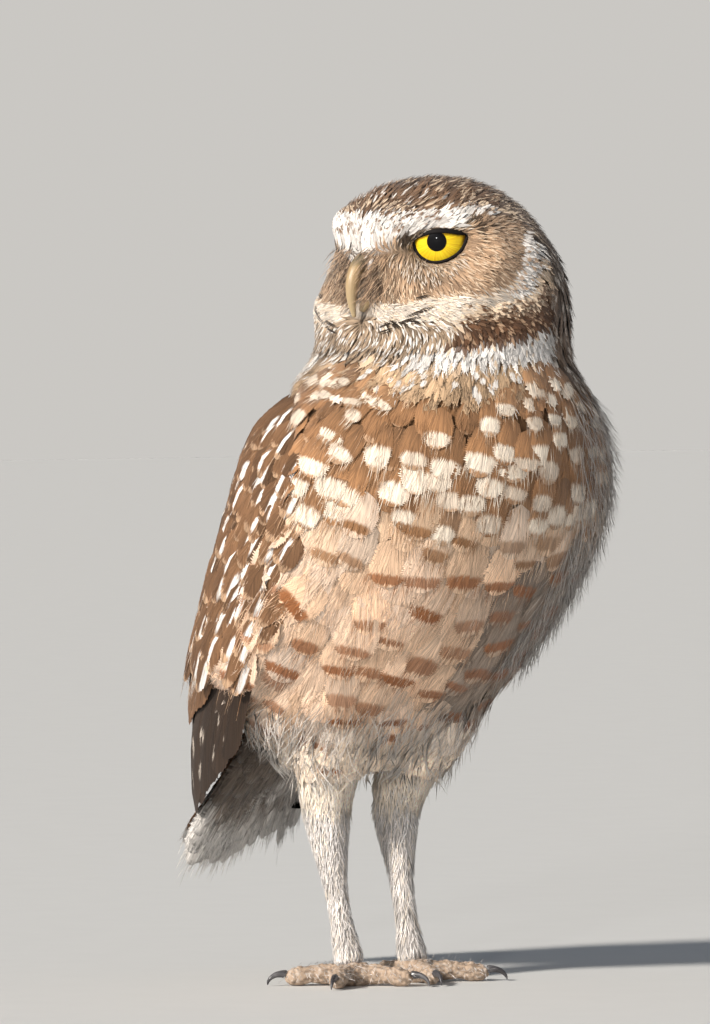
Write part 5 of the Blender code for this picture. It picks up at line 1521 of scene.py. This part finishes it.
def bend_through(corners, count):
    """Even steps along a smooth curve through the corners."""
    corners = np.asarray(corners, float)
    ends = np.concatenate([[2 * corners[0] - corners[1]], corners, [2 * corners[-1] - corners[-2]]])
    turns = np.linspace(0, len(corners) - 1, count)
    low = np.minimum(turns.astype(int), len(corners) - 2)
    part = (turns - low)[:, None]
    p = [ends[low + step] for step in range(4)]
    return 0.5 * (2 * p[1] + (p[2] - p[0]) * part + (2 * p[0] - 5 * p[1] + 4 * p[2] - p[3]) * part**2
                  + (3 * p[1] - p[0] - 3 * p[2] + p[3]) * part**3)


def tube(path, across, above, half_widths, half_heights, around, ridge=0.0):
    """Points and triangles of a closed tube, with how far along and round each point is."""
    turn = np.linspace(0, 2 * math.pi, around, endpoint=False)
    peak = 1 + ridge * np.clip(np.sin(turn), 0, 1) ** 4
    rings = (path[:, None, :] + across[:, None, :] * (half_widths[:, None] * np.cos(turn))[..., None]
             + above[:, None, :] * (half_heights[:, None] * np.sin(turn) * peak)[..., None])
    points = np.concatenate([rings.reshape(-1, 3), path[:1], path[-1:]])
    along = np.linspace(0, 1, len(path))
    lay = np.stack([np.broadcast_to(np.sin(turn), (len(path), around)), np.broadcast_to(along[:, None], (len(path), around)),
                    np.broadcast_to(np.cos(turn), (len(path), around))], axis=-1).reshape(-1, 3)
    lay = np.concatenate([lay, [(0, 0, 0), (0, 1, 0)]])
    return points, closed_rings(len(path), around), lay


class OWL_OT_bill(bpy.types.Operator):
    """The hooked bill with its cere and nostrils, and the lower bill"""

    bl_idname = "owl.bill"
    bl_label = "Bill"

    def execute(self, context):
        material = self.horn_material()
        share = np.linspace(0, 1, 34)
        path = np.array([head_point(a, 0, z) for a, z in bend_through(BILL_LINE, 34)])
        taper = 1 - 0.84 * share**1.3
        points, triangles, lay = self.horn(path, 3.2 * taper, 3.4 * taper, 0.1)
        for side in SIDES.values():
            middle = head_point(34.3, side * 2.4, 208.4)
            near = np.linalg.norm(points - middle, axis=1)
            points -= HEAD_LEFT * side * (0.9 * np.exp(-((near / 0.9) ** 2)))[:, None]
        upper = add_piece("bill_top", points, triangles, material, {"lay": lay})
        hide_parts("bill_upper")
        share = np.linspace(0, 1, 20)
        path = np.array([head_point(a, 0, z) for a, z in bend_through(LOWER_BILL_LINE, 20)])
        points, triangles, lay = self.horn(path, 2.4 * (1 - 0.62 * share**1.6), 2.0 * (1 - 0.6 * share**1.6), 0.0)
        lower = add_piece("bill_under", points, triangles, material, {"lay": lay})
        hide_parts("bill_lower")
        return {"FINISHED"}

    def horn(self, path, widths, heights, ridge):
        tangents = unit(np.gradient(path, axis=0))
        across = np.broadcast_to(HEAD_LEFT, path.shape)
        above = unit(np.cross(tangents, across))
        if above[0, 2] < 0:
            above = -above
        across = unit(np.cross(above, tangents))
        return tube(path, across, above, widths, heights, 32, ridge)

    def horn_material(self):
        material, shader, w = principled("bill_horn", 0.38, 0.5)
        shader.inputs["Coat Weight"].default_value = 0.15
        shader.inputs["Coat Roughness"].default_value = 0.3
        lay = w.attribute("lay").outputs["Vector"]
        along = w.node("ShaderNodeSeparateXYZ", {0: lay}).outputs[1]
        place = w.node("ShaderNodeTexCoord").outputs["Object"]
        cloud = w.noise(place, 420.0, 4.0, 0.6)
        lines = w.noise(w.node("ShaderNodeMapping", {"Vector": lay, "Scale": (9, 1.2, 9)}).outputs[0], 1.0, 3.0, 0.6)
        horn = tuple(colour_of("horn")) + (1,)
        tip = (0.50, 0.38, 0.22, 1)
        cere = tuple(colour_of("cere")) + (1,)
        colour = w.mix(w.range(w.math("ADD", along, w.math("MULTIPLY", cloud, 0.2)), 0.55, 1.05), horn, tip)
        colour = w.mix(w.range(w.math("ADD", along, w.math("MULTIPLY", cloud, 0.1)), 0.36, 0.46, 1.0, 0.0), colour, cere)
        colour = w.mix(w.range(lines, 0.35, 0.7, 0.0, 0.35), colour, (0.16, 0.11, 0.06, 1))
        w.put(shader.inputs["Base Color"], colour)
        w.put(shader.inputs["Normal"], w.node("ShaderNodeBump", {"Height": lines, "Strength": 0.35, "Distance": 0.0003}).outputs[0])
        return material


class OWL_OT_feet(bpy.types.Operator):
    """The scaly toes and the dark claws"""

    bl_idname = "owl.feet"
    bl_label = "Feet and claws"

    def execute(self, context):
        toe_finish = self.toe_material()
        claw_finish = self.claw_material()
        for side in SIDES:
            names = [f"foot_{side}"] + [f"toe_{side}_{number}" for number in range(1, 5)]
            self.foot(context, side, names, toe_finish)
            for number in range(1, 5):
                self.claw(context, f"claw_{side}_{number}", claw_finish)
        return {"FINISHED"}

    def foot(self, context, side, names, material):
        shape = bmesh.new()
        for name in names:
            shape.from_mesh(nodes[name].data)
        points, normals, triangles = smooth_shell(shape, 0.42, 6)
        scales = np.array([noise.voronoi(Vector(point * 0.85))[0][0] for point in points])
        crust = np.array([noise.noise(Vector(point * 0.7)) for point in points])
        swell = (0.25 - 0.55 * np.clip(scales, 0, 0.7)) + 0.22 * crust
        points += normals * swell[:, None] * soft_step(points[:, 2], 0.4, 1.4)[:, None]
        points[:, 2] = np.maximum(points[:, 2], 0.0)
        place = np.stack([scales, crust, scales * 0], axis=1)
        foot = add_piece(f"toes_{side}", points, triangles, material, {"lay": place})
        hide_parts(*names)
        # A few stiff hairs on top of the toes
        rng = np.random.default_rng(context.scene.owl_coat.seed + 95)
        skin = Skin(f"toes_{side}")
        roots = skin.roots(2.5, 14, 0.9, lambda p: p[:, 2] > 2.5, 96)
        _, up = skin.nearest(roots)
        count = len(roots)
        heading = unit(up * 0.5 + rng.normal(0, 0.35, (count, 3)) - UP * 0.2 + np.array([0, -0.45, 0]))
        steps = np.linspace(0, 1, 4)
        path = roots[:, None, :] + heading[:, None, :] * (rng.uniform(1.2, 3.4, (count, 1)) * steps)[..., None]
        path[..., 2] = np.maximum(path[..., 2] - 0.5 * steps**2, 0.3)
        colours = colour_of("leg_grey") * rng.uniform(0.5, 1.1, (count, 1))
        looks = feather_looks(colours, colours, np.tile((-9.0, 1, 1, 0), (count, 1)))
        build_feathers(f"toe_hairs_{side}", path, np.repeat(up[:, None, :], 4, axis=1), rng.uniform(0.05, 0.1, count), "hair", looks,
                       roots[:, :2], material_for("leg"), "leg_feather", rng, thickness=0.06, camber=0, ragged=0)

    def claw(self, context, name, material):
        mesh = nodes[name].data.copy()
        mesh.name = name + "_horn"
        obj = bpy.data.objects.new(name + "_horn", mesh)
        context.scene.collection.objects.link(obj)
        mesh.materials.clear()
        mesh.materials.append(material)
        mesh.shade_smooth()
        weld = obj.modifiers.new("weld", "WELD")
        weld.merge_threshold = 0.02 * MM
        round_off = obj.modifiers.new("round", "SUBSURF")
        round_off.levels = round_off.render_levels = 2
        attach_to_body(obj, BODY)
        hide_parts(name)

    def toe_material(self):
        material, shader, w = principled("toe_scales", 0.7, 0.3)
        lay = w.node("ShaderNodeSeparateXYZ", {0: w.attribute("lay").outputs["Vector"]}).outputs
        place = w.node("ShaderNodeTexCoord").outputs["Object"]
        grain = w.noise(place, 1800.0, 4.0, 0.6)
        toe = tuple(colour_of("toe")) + (1,)
        # Painted shade: the grooves between the scales are darkened.
        crease_shade = tuple(colour_of("toe") * 0.35) + (1,)
        pale = tuple(colour_of("white") * 0.85) + (1,)
        colour = w.mix(w.range(lay[0], 0.4, 0.85, 0.0, 0.7), toe, crease_shade)
        colour = w.mix(w.range(w.math("ADD", grain, w.math("MULTIPLY", lay[1], 0.3)), 0.5, 0.85, 0.0, 0.5), colour, pale)
        w.put(shader.inputs["Base Color"], colour)
        w.put(shader.inputs["Normal"], w.node("ShaderNodeBump", {"Height": grain, "Strength": 0.6, "Distance": 0.0004}).outputs[0])
        return material

    def claw_material(self):
        material, shader, w = principled("claw_horn", 0.3, 0.5)
        place = w.node("ShaderNodeTexCoord").outputs["Object"]
        cloud = w.noise(place, 300.0, 4.0, 0.6)
        claw = tuple(colour_of("claw")) + (1,)
        w.put(shader.inputs["Base Color"], w.mix(w.range(cloud, 0.35, 0.7), claw, (0.11, 0.105, 0.11, 1)))
        w.put(shader.inputs["Roughness"], w.range(cloud, 0.3, 0.7, 0.25, 0.45))
        return material


class OWL_OT_stage(bpy.types.Operator):
    """The pale floor, the soft lights and the camera"""

    bl_idname = "owl.stage"
    bl_label = "Stage"

    def execute(self, context):
        scene = context.scene
        self.floor(scene)
        world = bpy.data.worlds.new("studio")
        world.use_nodes = True
        back = world.node_tree.nodes["Background"]
        w = Wiring(world.node_tree)
        upward = w.node("ShaderNodeSeparateXYZ", {0: w.node("ShaderNodeTexCoord").outputs["Generated"]}).outputs[2]
        low = (0.592, 0.575, 0.548, 1)
        high = (0.15, 0.17, 0.20, 1)
        w.put(back.inputs["Color"], w.mix(w.range(upward, 0.04, 0.3), low, high))
        back.inputs["Strength"].default_value = 1.0
        scene.world = world
        scene.view_settings.view_transform = "Standard"
        self.sun("key", (-1.6, -0.32, 0.92), 4.7, 7.0, (1.0, 0.94, 0.86))
        self.light("catch", (-2.08, -1.75, 0.5), 0.2, 14.0, (1.0, 1.0, 1.0))
        self.camera(scene)
        return {"FINISHED"}

    def floor(self, scene):
        material, shader, w = principled("pale_floor", 0.85, 0.2)
        grain = w.noise(w.node("ShaderNodeTexCoord").outputs["Object"], 60.0, 3.0, 0.5)
        w.put(shader.inputs["Base Color"], w.mix(grain, (0.66, 0.66, 0.65, 1), (0.69, 0.69, 0.68, 1)))
        mesh = bpy.data.meshes.new("floor")
        reach = 6.0
        mesh.from_pydata([(-reach, -reach, 0), (reach, -reach, 0), (reach, reach, 0), (-reach, reach, 0)], [], [(0, 1, 2, 3)])
        mesh.materials.append(material)
        floor = bpy.data.objects.new("floor", mesh)
        scene.collection.objects.link(floor)

    def sun(self, name, place, strength, softness, colour):
        lamp = bpy.data.lights.new(name, "SUN")
        lamp.energy = strength
        lamp.angle = math.radians(softness)
        lamp.color = colour
        obj = bpy.data.objects.new(name, lamp)
        obj.rotation_euler = (-Vector(place)).to_track_quat("-Z", "Y").to_euler()
        bpy.context.scene.collection.objects.link(obj)

    def light(self, name, place, size, power, colour):
        lamp = bpy.data.lights.new(name, "AREA")
        lamp.shape = "DISK"
        lamp.size = size
        lamp.energy = power
        lamp.color = colour
        obj = bpy.data.objects.new(name, lamp)
        obj.location = place
        aim = Vector((0, 0, 0.13)) - Vector(place)
        obj.rotation_euler = aim.to_track_quat("-Z", "Y").to_euler()
        bpy.context.scene.collection.objects.link(obj)

    def camera(self, scene):
        turn, tilt = math.radians(-36), math.radians(1.5)
        look = Vector((-math.sin(turn) * math.cos(tilt), math.cos(turn) * math.cos(tilt), -math.sin(tilt)))
        right = Vector((math.cos(turn), math.sin(turn), 0))
        camera = bpy.data.cameras.new("camera")
        camera.sensor_fit = "VERTICAL"
        camera.sensor_height = 36
        camera.lens = 363.3
        camera.clip_start = 0.01
        obj = bpy.data.objects.new("camera", camera)
        place = Vector((-11.3, -1.8, 137.0)) * MM - look * 3.0
        up = right.cross(look)
        axes = Matrix((right, up, -look)).transposed().to_4x4()
        obj.matrix_world = Matrix.Translation(place) @ axes
        scene.collection.objects.link(obj)
        scene.camera = obj


PIECES = (
    OWL_OT_skin, OWL_OT_head_coat, OWL_OT_body_coat, OWL_OT_leg_coat, OWL_OT_wings, OWL_OT_tail,
    OWL_OT_eyes, OWL_OT_bill, OWL_OT_feet, OWL_OT_stage,
)


class OWL_PT_looks(bpy.types.Panel):
    """The steps that dress the owl, in order"""

    bl_idname = "OWL_PT_looks"
    bl_label = "Burrowing Owl"
    bl_space_type = "VIEW_3D"
    bl_region_type = "UI"
    bl_category = "Owl"

    def draw(self, context):
        for piece in PIECES:
            self.layout.operator(piece.bl_idname)
        for settings in (context.scene.owl_coat, context.scene.owl_colours):
            box = self.layout.box()
            for name in settings.bl_rna.properties.keys():
                if name not in ("rna_type", "name"):
                    box.prop(settings, name)


def register():
    for kind in (OwlColours, OwlCoat, *PIECES, OWL_PT_looks):
        bpy.utils.register_class(kind)
    bpy.types.Scene.owl_colours = PointerProperty(type=OwlColours)
    bpy.types.Scene.owl_coat = PointerProperty(type=OwlCoat)


def unregister():
    del bpy.types.Scene.owl_coat
    del bpy.types.Scene.owl_colours
    for kind in reversed((OwlColours, OwlCoat, *PIECES, OWL_PT_looks)):
        bpy.utils.unregister_class(kind)


def main():
    register()
    make_materials()
    for piece in PIECES:
        group, name = piece.bl_idname.split(".")
        getattr(getattr(bpy.ops, group), name)()


if __name__ == "__main__":
    main()
